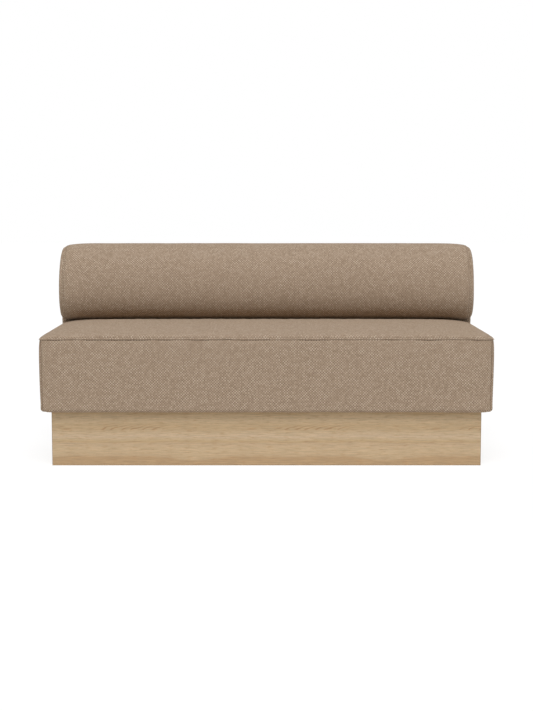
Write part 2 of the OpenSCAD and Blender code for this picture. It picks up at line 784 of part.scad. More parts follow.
module back_bolster_foam() {
  sections = [for (x = FOAM_X) foam_section(x)];
  m = len(sections[0]);
  ring = concat([for (i = [0 : m - 4]) i], [m - 3, m - 1, m - 2]);
  last = (len(sections) - 1) * m;
  color(FOAM) polyhedron(
    points = [for (s = sections) each s],
    faces = concat(
      [for (k = [0 : len(sections) - 2], i = [0 : m - 1])
        let (a = k * m + ring[i], b = k * m + ring[(i + 1) % m]) each [[a, a + m, b], [a + m, b + m, b]]],
      [for (i = [0 : m - 1]) if (ring[i] != m - 1 && ring[(i + 1) % m] != m - 1)
        each [[m - 1, ring[i], ring[(i + 1) % m]], [last + m - 1, last + ring[(i + 1) % m], last + ring[i]]]]
    )
  );
}
module back_lower_foam() {
  color(FOAM) box(-pad_x, pad_x, stem_y + cover_t, board_y, wrap_low, under_z + foam_c);
}
module back_rear_wadding() {
  color(WADDING) box(-pad_x, pad_x, wadding_y, wadding_y + rear_foam, low_z, frame_top);
}

// End of the back: a P-shaped sheet between a front and a rear chain of edge points, crowned outwards
STEM_SHARE = [0, 0.33, 0.67];
FRONT_CHAIN = concat(
  [for (t = STEM_SHARE) [stem_y, low_z + t * (under_z - low_z), -1, 0]],
  [for (s = [-90 : TURN : 75]) concat(outline(s), outward(s))]
);
REAR_CHAIN = concat(
  [for (t = STEM_SHARE) [rear_y, low_z + t * (under_z - low_z), 1, 0]],
  [for (i = [0 : 5]) [rear_y, under_z + i / 6 * (back_h - top_r - under_z), 1, 0]],
  [for (s = [180 : -TURN : 105]) concat(outline(s), outward(s))]
);
APEX = concat(outline(90), outward(90));
EDGE_STEPS = [0, 5, 14, 30];
SWELL_BLEND = 60;
APEX_SHARE = 0.6;
function swell_at(z) = let (t = min(max((z - under_z) / SWELL_BLEND, 0), 1))
  stem_crown + (end_crown - stem_crown) * t;
function towards(p, mid, k, c) =
  let (
    edge = [p[0], p[1]], reach = norm(mid - edge), far = 0.9,
    f = k == 4 ? far : min(EDGE_STEPS[k] / reach, far * k / 4),
    at = edge + f * (mid - edge) - c * (1 - k / 4) * [p[2], p[3]]
  ) [k == 0 ? back_hw - c : back_hw - c + swell_at(at[1]) * puff(f * reach, END_REACH), at[0], at[1]];
function middle(i) = [FRONT_CHAIN[i][0] + REAR_CHAIN[i][0], FRONT_CHAIN[i][1] + REAR_CHAIN[i][1]] / 2;
pairs = len(FRONT_CHAIN);
function end_points(c) = concat(
  [for (i = [0 : pairs - 1]) each concat(
    [for (k = [0 : 4]) towards(FRONT_CHAIN[i], middle(i), k, c)],
    [for (k = [4 : -1 : 0]) towards(REAR_CHAIN[i], middle(i), k, c)]
  )],
  [for (k = [0 : 4]) towards(APEX, APEX_MID, k, c)]
);
APEX_MID = [APEX[0], APEX[1]] + APEX_SHARE * (middle(pairs - 1) - [APEX[0], APEX[1]]);
apex_at = 10 * pairs;
top_at = 10 * (pairs - 1);
END_FACES = concat(
  grid_faces(pairs, 10),
  [for (k = [0 : 3]) each [
    [top_at + k, apex_at + k, apex_at + k + 1], [top_at + k, apex_at + k + 1, top_at + k + 1],
    [top_at + 8 - k, apex_at + k + 1, apex_at + k], [top_at + 8 - k, apex_at + k, top_at + 9 - k]
  ]],
  [[top_at + 4, apex_at + 4, top_at + 5]]
);
END_RIM = concat(
  [for (k = [0 : 9]) k], [for (i = [1 : pairs - 1]) 10 * i + 9], [apex_at],
  [for (i = [pairs - 1 : -1 : 1]) 10 * i]
);
module end_cover() {
  translate([seam_gap, 0, 0]) thick_sheet(end_points(0), end_points(cover_t), END_FACES, END_RIM);
}
module end_pad() {
  outer = end_points(foam_c + pad_gap);
  thick_sheet(outer, [for (p = outer) [pad_x, p[1], p[2]]], END_FACES, END_RIM);
}
module back_cover_right() {
  color(FABRIC) end_cover();
}
module back_cover_left() {
  color(FABRIC) mirror([1, 0, 0]) end_cover();
}
module back_end_pad_right() {
  color(FOAM) end_pad();
}
module back_end_pad_left() {
  color(FOAM) mirror([1, 0, 0]) end_pad();
}
module back_cover_rear() {
  inner = back_hw - cover_t;
  color(FABRIC) translate([0, 0, low_z]) linear_extrude(rear_seam_z - low_z) polygon([
    [-back_hw, rear_y], [back_hw, rear_y], [inner, rear_y - cover_t], [-inner, rear_y - cover_t]
  ]);
}
module back_bottom_cover() {
  color(LINING) box(-back_hw, back_hw, stem_y, rear_y, plinth_h, low_z);
}

plinth_front_panel();
plinth_rear_panel();
plinth_left_panel();
plinth_right_panel();
plinth_left_batten();
plinth_right_batten();
plinth_centre_rail();
plinth_corner_blocks();
plinth_block_screws();
foot_inserts();
foot_pad_front_left();
foot_pad_front_right();
foot_pad_rear_left();
foot_pad_rear_right();
foot_stud_front_left();
foot_stud_front_right();
foot_stud_rear_left();
foot_stud_rear_right();
seat_front_rail();
seat_rear_rail();
seat_left_rail();
seat_right_rail();
seat_cross_rails();
seat_corner_blocks();
seat_webbing_across();
seat_webbing_along();
seat_bolts();
seat_bolt_sleeves();
seat_foam_core();
seat_topper();
seat_edge_foam_front();
seat_edge_foam_left();
seat_edge_foam_right();
seat_cover_top();
seat_cover_front();
seat_cover_left();
seat_cover_right();
seat_cover_rear();
seat_dust_cover();
back_left_upright();
back_right_upright();
back_centre_upright();
back_top_rail();
back_middle_rails();
back_bottom_rail();
back_front_board();
back_rear_board();
back_mounting_batten();
back_bolts();
back_bolt_sleeves();
back_bolster_foam();
back_lower_foam();
back_rear_wadding();
back_end_pad_left();
back_end_pad_right();
back_cover_front();
back_cover_left();
back_cover_right();
back_cover_rear();
back_bottom_cover();
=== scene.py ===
"""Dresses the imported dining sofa: a sewn seat cushion and a roll-shaped back cushion on an oak-veneered plinth.

Every piece is in metres, in the frame of the construction: +X to the right, +Y to the rear, +Z up from the floor.
"""

import math

import bpy
import numpy as np
from mathutils import Matrix, Vector, noise


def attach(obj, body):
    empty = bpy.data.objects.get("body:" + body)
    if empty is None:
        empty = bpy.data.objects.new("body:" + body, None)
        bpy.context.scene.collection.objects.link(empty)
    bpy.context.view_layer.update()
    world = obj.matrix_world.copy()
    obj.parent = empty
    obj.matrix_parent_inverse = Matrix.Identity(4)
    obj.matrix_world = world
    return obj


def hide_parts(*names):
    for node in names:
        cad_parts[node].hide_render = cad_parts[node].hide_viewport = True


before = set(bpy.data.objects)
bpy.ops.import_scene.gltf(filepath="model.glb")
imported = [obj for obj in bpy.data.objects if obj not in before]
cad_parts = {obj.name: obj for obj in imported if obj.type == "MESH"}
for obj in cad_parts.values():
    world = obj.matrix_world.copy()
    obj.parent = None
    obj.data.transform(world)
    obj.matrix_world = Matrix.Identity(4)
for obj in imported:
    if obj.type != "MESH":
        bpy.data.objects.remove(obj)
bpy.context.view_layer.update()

# --- Camera ---------------------------------------------------------------------------------------
# A 70 mm lens five metres in front of the sofa, a little above the back and looking six degrees down, level and
# square to the front. That is where the plinth's converging edges place it.
CAMERA_TILT, CAMERA_AWAY, CAMERA_HEIGHT = 6.117, 5.2975, 0.9414

bpy.ops.object.camera_add(location=(0, -CAMERA_AWAY, CAMERA_HEIGHT), rotation=(math.radians(90 - CAMERA_TILT), 0, 0))
camera = bpy.context.object
camera.data.lens = 70
camera.data.sensor_width = 36
bpy.context.scene.camera = camera
bpy.context.scene.view_settings.view_transform = "Standard"

# --- Studio: floor, sky and soft lights -----------------------------------------------------------
# A matt pale floor sheet that reads as white paper and keeps a faint shadow of the sofa. A very wide soft light stands
# high in front, weaker ones behind and on either side, and an even sky gives the fill.
FLOOR_PALE, WHITE = "#f0efed", (1, 1, 1, 1)
FLOOR_SIZE, FLOOR_DROP = 60, 0.0002
FLOOR_GLOW, FLOOR_LIT, SKY_FILL = 0.80, 0.24, 0.08


def linear(hex_colour):
    """The linear RGBA of an sRGB hex colour."""
    channels = [int(hex_colour[i:i + 2], 16) / 255 for i in (1, 3, 5)]
    return [c / 12.92 if c <= 0.04045 else ((c + 0.055) / 1.055) ** 2.4 for c in channels] + [1]


def add_node(tree, kind, inputs=(), **settings):
    """Adds a node with its settings and its inputs, in order or by name.

    An input is set, or linked to a given socket or to the first one of a given node."""
    node = tree.nodes.new("ShaderNode" + kind)
    for name, value in settings.items():
        setattr(node, name, value)
    for name, value in inputs.items() if isinstance(inputs, dict) else enumerate(inputs):
        if isinstance(value, bpy.types.Node):
            value = value.outputs[0]
        if isinstance(value, bpy.types.NodeSocket):
            tree.links.new(value, node.inputs[name])
        else:
            node.inputs[name].default_value = value
    return node


def new_tree(owner):
    """An empty node tree of a material or world."""
    owner.use_nodes = True
    owner.node_tree.nodes.clear()
    return owner.node_tree


def looked_at(tree):
    """1 for the rays that look at a thing, straight or by way of gloss or glass, and 0 for the others."""
    sight = add_node(tree, "LightPath")
    seen = sight.outputs["Is Camera Ray"]
    for ray in ("Is Glossy Ray", "Is Transmission Ray"):
        seen = add_node(tree, "Math", (seen, sight.outputs[ray]), operation="ADD", use_clamp=True)
    return seen


paper = bpy.data.materials.new("white_paper")
tree = new_tree(paper)
lit_floor = add_node(tree, "BsdfDiffuse", {"Color": linear(FLOOR_PALE)})
shade = add_node(tree, "BsdfDiffuse", {"Color": (FLOOR_LIT, FLOOR_LIT, FLOOR_LIT, 1)})
glow = add_node(tree, "Emission", {"Color": WHITE, "Strength": FLOOR_GLOW})
shown = add_node(tree, "AddShader", (shade, glow))
mixed = add_node(tree, "MixShader", (looked_at(tree), lit_floor, shown))
add_node(tree, "OutputMaterial", {"Surface": mixed})

bpy.ops.mesh.primitive_plane_add(size=FLOOR_SIZE, location=(0, 0, -FLOOR_DROP))
floor = bpy.context.object
floor.name = "studio_floor"
floor.data.materials.append(paper)

sky = bpy.data.worlds.new("studio_sky")
bpy.context.scene.world = sky
tree = new_tree(sky)
strength = add_node(tree, "Mix", {0: looked_at(tree), 2: SKY_FILL, 3: 1.0}, data_type="FLOAT")
white = add_node(tree, "Background", {"Color": WHITE, "Strength": strength})
add_node(tree, "OutputWorld", {"Surface": white})


def soft_light(name, bearing, elevation, spread, strength):
    """A wide light from far away, from a compass bearing (0 is the front) and an elevation in degrees."""
    bpy.ops.object.light_add(type="SUN", rotation=(math.radians(90 - elevation), 0, math.radians(bearing)))
    lamp = bpy.context.object
    lamp.name = name
    lamp.data.angle = math.radians(spread)
    lamp.data.energy = strength


soft_light("light_front", 0, 57, 44, 2.6)
soft_light("light_left", -65, 38, 60, 0.15)
soft_light("light_right", 65, 38, 60, 0.15)
soft_light("light_rear", 180, 50, 60, 0.5)

# --- Plinth panels: light oak veneer on board -----------------------------------------------------
# Four boards faced with pale oak, mitred at the corners, with the grain running along them. The veneer is plain
# sawn: quiet straight bands below, and a run of flame-shaped strokes in the upper third that repeats with each leaf
# of veneer. Its sizes are in millimetres.
PLINTH_HALF, PLINTH_HEIGHT = 785.5, 203
VENEER_REPEAT = 675
BAND_WANDER = 22
ARCH_AT, ARCH_RISE = 420, 13
FLAME_LOW, FLAME_PITCH, FLAME_RIPPLE = 131, 38, 40
FLAME_SWEEP, FLAME_BEND = -0.42, 1.7
FLECK_AT = 612
# colours by height on the board. The low and middle stops are the veneer's own grain bands. From about three quarters
# of the height up to 0.915, the stops are lighter: painted light that lifts the shade the seat's overhang casts on the
# top of the plinth. The last stop is darker: painted shade right under the seat's edge.
BANDS_AND_PAINTED_LIGHT = [(0.0, "#b59976"), (0.145, "#b59875"), (0.175, "#bea584"), (0.3, "#c5ad8b"), (0.4, "#c0a788"),
                (0.43, "#bba07b"), (0.46, "#c2aa87"), (0.52, "#c9b294"), (0.6, "#c6ae8d"), (0.66, "#c1a784"),
                (0.74, "#c7ad88"), (0.79, "#d0b793"), (0.865, "#d6bd99"), (0.915, "#d4bb96"), (0.95, "#bea37e")]


def new_material(name):
    """A new material, its empty node tree, and the place on the object in metres."""
    material = bpy.data.materials.new(name)
    tree = new_tree(material)
    return material, tree, add_node(tree, "TexCoord").outputs["Object"]


def set_stops(ramp_node, stops):
    """Gives a colour ramp its stops, each a position and a hex colour, in rising order."""
    ramp = ramp_node.color_ramp.elements
    while len(ramp) < len(stops):
        ramp.new(0.5)
    for element, (position, colour) in zip(ramp, stops):
        element.position = position
        element.color = linear(colour)


def oak_veneer(name, along, shift):
    """Pale oak veneer, clear matt lacquer: long soft bands, flame strokes, fine lines and open pores along one axis."""
    material, tree, place = new_material(name)
    in_mm = add_node(tree, "VectorMath", {0: place, "Scale": 1000}, operation="SCALE")
    axes = add_node(tree, "SeparateXYZ", {0: in_mm})
    run = add_node(tree, "Math", (axes.outputs[along], shift), operation="ADD")
    height = axes.outputs["Z"]
    on_board = add_node(tree, "CombineXYZ", (run, height))

    def drawn_out(waves_along, waves_up, **grain):
        """Noise with its own number of waves to a millimetre along the board and up it."""
        space = add_node(tree, "VectorMath", (on_board, (waves_along, waves_up, 1)), operation="MULTIPLY")
        return add_node(tree, "TexNoise", {"Vector": space, "Scale": 1, **grain})

    def away_from(value, line):
        """How far a measure is from a line, on either side of it."""
        past = add_node(tree, "Math", (value, line), operation="SUBTRACT")
        return add_node(tree, "Math", {0: past}, operation="ABSOLUTE")

    def faded(value, *windows):
        """A value faded by smooth windows, each a measure, its start and end, and the share at both."""
        for window in windows:
            mask = add_node(tree, "MapRange", window, interpolation_type="SMOOTHSTEP")
            value = add_node(tree, "Math", (value, mask), operation="MULTIPLY")
        return value

    # the bands wander by a few millimetres along the board, and arch up once on each leaf
    wander = drawn_out(0.0045, 0.012, Detail=2, Roughness=0.5)
    wander_mm = add_node(tree, "Math", (wander, BAND_WANDER, -BAND_WANDER / 2), operation="MULTIPLY_ADD")
    leaf_start = add_node(tree, "Math", (run, VENEER_REPEAT), operation="FLOORED_MODULO")
    arch = faded(ARCH_RISE, (away_from(leaf_start, ARCH_AT), 10, 150, 1, 0), (height, 35, 80, 1, 0))
    arched = add_node(tree, "Math", (arch, wander_mm), operation="ADD")
    level = add_node(tree, "Math", (height, arched), operation="ADD")
    share = add_node(tree, "Math", (level, PLINTH_HEIGHT), operation="DIVIDE")
    # the ramp gives the grain bands, and near the top painted light and painted shade under the seat's overhang
    bands = add_node(tree, "ValToRGB", {0: share})
    set_stops(bands, BANDS_AND_PAINTED_LIGHT)

    # growth lines, about 4 mm apart so that they show, and finer ones for a close look
    growth = drawn_out(0.014, 0.24, Detail=4, Roughness=0.7, Distortion=0.15)
    growth_tone = add_node(tree, "MapRange", (growth, 0.36, 0.64, 0.87, 1.12))
    pores = drawn_out(0.11, 1.5, Detail=2, Roughness=0.6)
    pore_tone = add_node(tree, "MapRange", (pores, 0.30, 0.42, 0.86, 1.0))

    # flame strokes: they leave the band's foot steeply and flatten to the right, and repeat with the veneer leaf
    above = add_node(tree, "Math", (height, FLAME_LOW), operation="SUBTRACT")
    above_only = add_node(tree, "Math", (above, 0), operation="MAXIMUM")
    swept = add_node(tree, "Math", (above_only, FLAME_BEND), operation="POWER")
    swept_mm = add_node(tree, "Math", (swept, FLAME_SWEEP, run), operation="MULTIPLY_ADD")
    leaf = add_node(tree, "Math", (swept_mm, VENEER_REPEAT), operation="FLOORED_MODULO")
    ripple = drawn_out(0.02, 0.06, Detail=1)
    rippled = add_node(tree, "Math", (ripple, FLAME_RIPPLE, leaf), operation="MULTIPLY_ADD")
    phase = add_node(tree, "Math", (rippled, 2 * math.pi / FLAME_PITCH), operation="MULTIPLY")
    wave = add_node(tree, "Math", {0: phase}, operation="SINE")
    stroke = add_node(tree, "MapRange", (wave, 0.35, 1.0, 0.0, 0.9))
    band_foot = (above, -2, 4, 0, 1)
    flames = faded(stroke, (leaf, 8, 50, 0, 1), (leaf, 230, 330, 1, 0), band_foot, (above, 3, 30, 1, 0))

    # one broad fleck stands apart from the flames on each leaf
    fleck = faded(0.6, (away_from(leaf, FLECK_AT), 4, 26, 1, 0), (above, 4, 9, 1, 0), band_foot)
    figure = add_node(tree, "Math", (flames, fleck), operation="MAXIMUM")

    # short reddish streaks between the growth lines
    streaks = drawn_out(0.030, 0.21, Detail=2, Roughness=0.6)
    streak = add_node(tree, "MapRange", (streaks, 0.52, 0.72, 0.0, 0.55))

    # on the long panels the cut edges of the facing show as a thin darker line, at the foot and at the mitres
    edge_low = add_node(tree, "MapRange", (height, 0.5, 3.5, 1, 0))
    from_middle = add_node(tree, "Math", {0: axes.outputs["X"]}, operation="ABSOLUTE")
    edge_side = add_node(tree, "MapRange", (from_middle, PLINTH_HALF - 3, PLINTH_HALF - 1, 0, 1))
    edges = add_node(tree, "Math", (edge_low, edge_side), operation="MAXIMUM")
    edge_share = add_node(tree, "Math", (edges, 0.75 if along == "X" else 0.0), operation="MULTIPLY")

    colour = bands.outputs[0]
    for share, tint, blend in ((figure, linear("#a9835a"), "MIX"), (streak, linear("#ab8760"), "MIX"),
                               (edge_share, linear("#8a7150"), "MIX"), (1.0, growth_tone, "MULTIPLY"),
                               (1.0, pore_tone, "MULTIPLY")):
        colour = add_node(tree, "Mix", {0: share, 6: colour, 7: tint}, data_type="RGBA", blend_type=blend).outputs[2]
    dull = add_node(tree, "MapRange", (growth, 0.3, 0.7, 0.48, 0.62))
    relief = add_node(tree, "Bump", {"Height": pore_tone, "Strength": 0.35, "Distance": 0.0002})
    wood = add_node(tree, "BsdfPrincipled", {"Base Color": colour, "Roughness": dull, "Normal": relief,
                                             "Specular IOR Level": 0.35})
    add_node(tree, "OutputMaterial", {"Surface": wood})
    return material


def dress(names, material):
    """Gives CAD nodes a material. Their shape and place stay as they are."""
    for name in names:
        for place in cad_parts[name].material_slots:
            place.material = material


for panel, along, shift in (("front", "X", 672), ("rear", "X", 1130), ("left", "Y", 1000), ("right", "Y", 1420)):
    dress([f"plinth_{panel}_panel"], oak_veneer("oak_veneer_" + panel, along, shift))

# --- Frame timber: planed pine battens, rails, uprights and blocks, and plywood boards ------------
# Softwood sawn and planed to size, left raw because the plinth and the covers hide it. Yellowish, with darker late
# wood lines along the length and a dry surface. The back's boards and its batten are birch plywood, paler and plainer.
# Here and below, a pattern's number is how often it comes in a metre.
GRAIN_ACROSS, GRAIN_ALONG, PLY_ALONG = 90, 5, 9


def two_toned(tree, pattern, low, high, relief, finish):
    """Ends a material: two colours mixed by a pattern, relief as height, strength and distance, and its finish."""
    colour = add_node(tree, "Mix", {0: pattern, 6: linear(low), 7: linear(high)}, data_type="RGBA")
    inputs = {"Base Color": colour.outputs[2], **finish}
    if relief:
        inputs["Normal"] = add_node(tree, "Bump", dict(zip(("Height", "Strength", "Distance"), relief)))
    surface = add_node(tree, "BsdfPrincipled", inputs)
    add_node(tree, "OutputMaterial", {"Surface": surface})


def raw_timber(name, along, stretch, low, high):
    """Planed raw pine, or the face of plywood: growth lines along one axis and a dry, rough sheen."""
    material, tree, place = new_material(name)
    scale = [stretch if axis == along else GRAIN_ACROSS for axis in "XYZ"]
    grain_space = add_node(tree, "Mapping", {"Vector": place, "Scale": scale})
    grain = add_node(tree, "TexNoise", {"Vector": grain_space, "Scale": 1, "Detail": 3, "Roughness": 0.6,
                                        "Distortion": 0.4})
    tone = add_node(tree, "MapRange", (grain, 0.32, 0.68, 0, 1))
    two_toned(tree, tone, low, high, (grain, 0.3, 0.0004), {"Roughness": 0.72, "Specular IOR Level": 0.3})
    return material


dress(["seat_front_rail", "seat_rear_rail", "back_top_rail", "back_middle_rails", "back_bottom_rail"],
      raw_timber("planed_pine_across", "X", GRAIN_ALONG, "#c9a36b", "#e2c696"))
dress(["plinth_left_batten", "plinth_right_batten", "plinth_centre_rail", "seat_left_rail", "seat_right_rail",
       "seat_cross_rails"], raw_timber("planed_pine_deep", "Y", GRAIN_ALONG, "#c9a36b", "#e2c696"))
dress(["plinth_corner_blocks", "seat_corner_blocks", "back_left_upright", "back_right_upright", "back_centre_upright"],
      raw_timber("planed_pine_upright", "Z", GRAIN_ALONG, "#c79f66", "#dfc08d"))
dress(["back_front_board", "back_rear_board", "back_mounting_batten"],
      raw_timber("birch_plywood", "X", PLY_ALONG, "#c3a171", "#d2b58a"))

# --- Screws, bolts, sleeves and levelling feet: zinc-plated steel and black nylon -----------------
# Turned and cold-headed steel parts with bright zinc on them, whose crystals are about 1 mm across. The pads under
# the studs are moulded nylon with the fine even grain of a spark-eroded mould, about 0.5 mm.
ZINC_CRYSTALS, MOULD_GRAIN = 900, 2200

zinc, tree, place = new_material("zinc_plated_steel")
crystals = add_node(tree, "TexVoronoi", {"Vector": place, "Scale": ZINC_CRYSTALS}, feature="F1")
sheen = add_node(tree, "MapRange", (crystals, 0, 0.8, 0.28, 0.44))
two_toned(tree, crystals, "#c3c5c6", "#a6a9ab", None, {"Metallic": 1.0, "Roughness": sheen})

nylon, tree, place = new_material("moulded_black_nylon")
grit = add_node(tree, "TexNoise", {"Vector": place, "Scale": MOULD_GRAIN, "Detail": 2})
two_toned(tree, grit, "#26272a", "#37393c", (grit, 0.4, 0.00008), {"Roughness": 0.48})

feet = ("front_left", "front_right", "rear_left", "rear_right")
dress(["plinth_block_screws", "foot_inserts", "seat_bolts", "seat_bolt_sleeves", "back_bolts", "back_bolt_sleeves"]
      + ["foot_stud_" + corner for corner in feet], zinc)
dress(["foot_pad_" + corner for corner in feet], nylon)

# --- Webbing and lining: the straps under the cushion and the cloth that closes the underside -----
# Elastic jute-coloured webbing 50 mm wide, stretched both ways over the seat frame, with its ribs drawn 8 mm apart,
# coarser than the real ones so that they show. The underside is closed with a black spunbonded lining, stapled all
# round, with the dimples of its bonding points.
WEBBING_RIBS, BOND_POINTS, LINING_FIBRES = 40, 420, 160

webbing, tree, place = new_material("elastic_webbing")
ribs_x, ribs_y = (add_node(tree, "TexWave", {"Vector": place, "Scale": WEBBING_RIBS, "Distortion": 0.3},
                           bands_direction=axis).outputs["Fac"] for axis in "XY")
ribs = add_node(tree, "Math", (ribs_x, ribs_y), operation="MULTIPLY")
two_toned(tree, ribs, "#3c3732", "#7c705f", (ribs, 0.5, 0.0006), {"Roughness": 0.85})
dress(["seat_webbing_across", "seat_webbing_along"], webbing)

lining, tree, place = new_material("spunbonded_lining")
points = add_node(tree, "TexVoronoi", {"Vector": place, "Scale": BOND_POINTS}, feature="SMOOTH_F1")
fibres = add_node(tree, "TexNoise", {"Vector": place, "Scale": LINING_FIBRES, "Detail": 4, "Distortion": 1.5})
two_toned(tree, fibres, "#1f1e1e", "#3b3a39", (points, 0.5, 0.0003), {"Roughness": 0.8})
dress(["seat_dust_cover", "back_bottom_cover"], lining)

# --- Seat cushion: five cloth panels sewn over foam -----------------------------------------------
# A crowned top panel with a topstitched lip along its front and sides, and tight borders that bulge a little between
# the corner seams. The cloth is pulled over foam and turned under at the foot. Sizes are in millimetres.
SEAT_HALF, SEAT_FRONT, SEAT_REAR, SEAM_HEIGHT, SEAT_FOOT = 820.0, -330.0, 225.0, 466.8, 203.4
CROWN, CROWN_AT_EDGE, CROWN_EDGE, CROWN_SLOW = 26.4, 0.48, 12, 90
FRONT_LIFT, SIDE_LIFT, LIFT_REACH = 0.7, 5.2, 60
MIDDLE_RISE, MIDDLE_REACH, MIDDLE_SIDE = 6.2, 380, 45
ROLL_SINK, SINK_FROM, SINK_REACH, REAR_DIP, DIP_REACH = 6.6, 50, 167, 0.5, 8
FRONT_BULGE, SIDE_BULGE, BULGE_REACH, FOOT_FLATTER = 5.0, 6.4, 20, 0.2
FRONT_DRAWN, SIDE_DRAWN = 0.6, 2.2
FOOT_ROUND, FOOT_DROP, FOOT_SAG, TURNED_UNDER = 13.5, 1.9, 1.9, 41.5
SEAM_BLEND, TURN_REACH = 40.0, 62
GROOVE_DEPTH, GROOVE_WIDTH, GROOVE_AT_CORNER, GROOVE_REACH = 2.6, 4.6, 0.15, 30
FINE_ROWS, GRID_STEP = [14.5, 17.5, 21, 26, 32, 40, 50], 11
SEAT_UNEVEN = 85, 0.55
# distance of each row from the seam, where the row really lies on the lip, and how far it stands proud there. The
# rows before LIP_UNDER fold over the seam, so they keep the height that the top has at the seam itself
LIP_ROWS = [0, 1, 2, 3, 4, 5, 6, 7, 8, 9, 10, 12]
LIP_INSET = [3.0, 1.2, -0.1, -0.7, -0.4, 0.7, 2.2, 3.6, 4.8, 6.0, 7.2, 9.5]
LIP_PROUD = [-0.8, 0.0, 1.0, 2.2, 2.9, 2.7, 2.2, 1.3, -0.4, -1.7, -0.4, 0.6]
LIP_UNDER, LIP_FADE, LIP_FROM_CORNER, BEHIND_LIP = 4, 7, 25, 0.7
EAR_OUT, EAR_ROWS, STITCH_ROW = 1.4, 8, 9


def puff(distance, radius):
    """How far cloth has risen at a distance inside its seam: nothing at the seam, full well inside it."""
    return 1 - np.exp(-np.maximum(distance, 0) / radius)


def stations(length):
    """Distances along a panel from seam to seam: the lip's rows, then wider and wider steps to an even one."""
    start = LIP_ROWS + FINE_ROWS
    count = max(2, round((length - 2 * start[-1]) / GRID_STEP))
    middle = np.linspace(start[-1], length - start[-1], count + 1)[1:-1]
    return np.array(start + list(middle) + [length - d for d in reversed(start)])


def lip_place(distance, ring):
    """Where a station lies in one ring of the lip: the rings fold over the seam, and flatten out 40 mm inside it."""
    if ring >= len(LIP_ROWS):
        return distance
    share = (distance - LIP_ROWS[ring]) / (SEAM_BLEND - LIP_ROWS[ring])
    return np.where(distance < SEAM_BLEND, LIP_INSET[ring] + share * (SEAM_BLEND - LIP_INSET[ring]), distance)


def rise(distance):
    """The crown's rise inside a seam: half of it over the rounded edge, the rest slowly towards the middle."""
    return CROWN_AT_EDGE * puff(distance, CROWN_EDGE) + (1 - CROWN_AT_EDGE) * puff(distance, CROWN_SLOW)


def seat_top(x, y):
    """Height of the seat's crowned top, which rises to its middle and which the roll presses down at the rear."""
    side, front = SEAT_HALF - np.abs(x), y - SEAT_FRONT
    dip = 1 - REAR_DIP * np.exp(-np.maximum(SEAT_REAR - y, 0) / DIP_REACH)
    slow = np.clip(front / MIDDLE_REACH, 0, 1)
    middle = MIDDLE_RISE * slow * slow * (3 - 2 * slow) - ROLL_SINK * np.clip((y - SINK_FROM) / SINK_REACH, 0, 1) ** 2
    return (SEAM_HEIGHT + FRONT_LIFT * puff(side, LIFT_REACH) + SIDE_LIFT * puff(front, LIFT_REACH)
            + CROWN * rise(side) * rise(front) * dip + middle * puff(side, MIDDLE_SIDE))


class Panel:
    """One cloth panel as a grid of points in millimetres, with the distances along it in both directions.

    Seen from outside, its rows run to the right and its columns down, or up where it is upward."""

    def __init__(self, points, across, down, upward=False, cut=None):
        self.points = np.array(points, float)
        self.across, self.down = np.array(across, float), np.array(down, float)
        self.upward = upward
        if cut is None:
            cut = np.stack(np.meshgrid(self.across, self.down if upward else -self.down, indexing="ij"), 2)
        self.cut = cut

    def normals(self):
        """The outward direction at each point."""
        n = np.cross(np.gradient(self.points, axis=1), np.gradient(self.points, axis=0))
        n *= -1 if self.upward else 1
        return n / np.maximum(np.linalg.norm(n, axis=2, keepdims=True), 1e-9)

    def faces(self):
        """The corners of each face, as rows and columns of the grid, turned outwards."""
        rows, columns = self.points.shape[:2]
        for i in range(rows - 1):
            for j in range(columns - 1):
                corners = ((i, j), (i, j + 1), (i + 1, j + 1), (i + 1, j))
                yield corners[::-1] if self.upward else corners


def even(distances, step):
    """Matrices that take a grid direction to even steps of about the given size, and smoothly back."""
    count = max(3, int(round((distances[-1] - distances[0]) / step)))
    marks = np.linspace(distances[0], distances[-1], count + 1)
    to_even = np.zeros((count + 1, len(distances)))
    for row, mark in enumerate(marks):
        i = min(max(int(np.searchsorted(distances, mark)) - 1, 0), len(distances) - 2)
        share = (mark - distances[i]) / (distances[i + 1] - distances[i])
        to_even[row, i], to_even[row, i + 1] = 1 - share, share
    back = np.zeros((len(distances), count + 1))
    for row, distance in enumerate(distances):
        t = (distance - distances[0]) / (marks[1] - marks[0])
        i = min(max(int(t), 0), count - 1)
        f = t - i
        weights = (-0.5 * f + f * f - 0.5 * f ** 3, 1 - 2.5 * f * f + 1.5 * f ** 3,
                   0.5 * f + 2 * f * f - 1.5 * f ** 3, -0.5 * f * f + 0.5 * f ** 3)
        for offset, weight in zip((-1, 0, 1, 2), weights):
            back[row, min(max(i + offset, 0), count)] += weight
    return to_even, back


CLOTH_STEP, CLOTH_CAP, CLOTH_SWELL, SWELL_LIMIT, FORM_EDGE = 13.0, 9.0, 3.2, 1.6, 26
CLOTH_PRESSURE, CLOTH_SHRINK, CLOTH_BENDING, CLOTH_FRAMES = 4, -0.012, 0.6, 20


def cloth_object(name, points, faces):
    """A new mesh object from points in millimetres, active and alone in the selection."""
    mesh = bpy.data.meshes.new(name)
    mesh.from_pydata([tuple(p / 1000) for p in points], [], faces)
    made = bpy.data.objects.new(name, mesh)
    bpy.context.collection.objects.link(made)
    bpy.ops.object.select_all(action="DESELECT")
    bpy.context.view_layer.objects.active = made
    made.select_set(True)
    return made


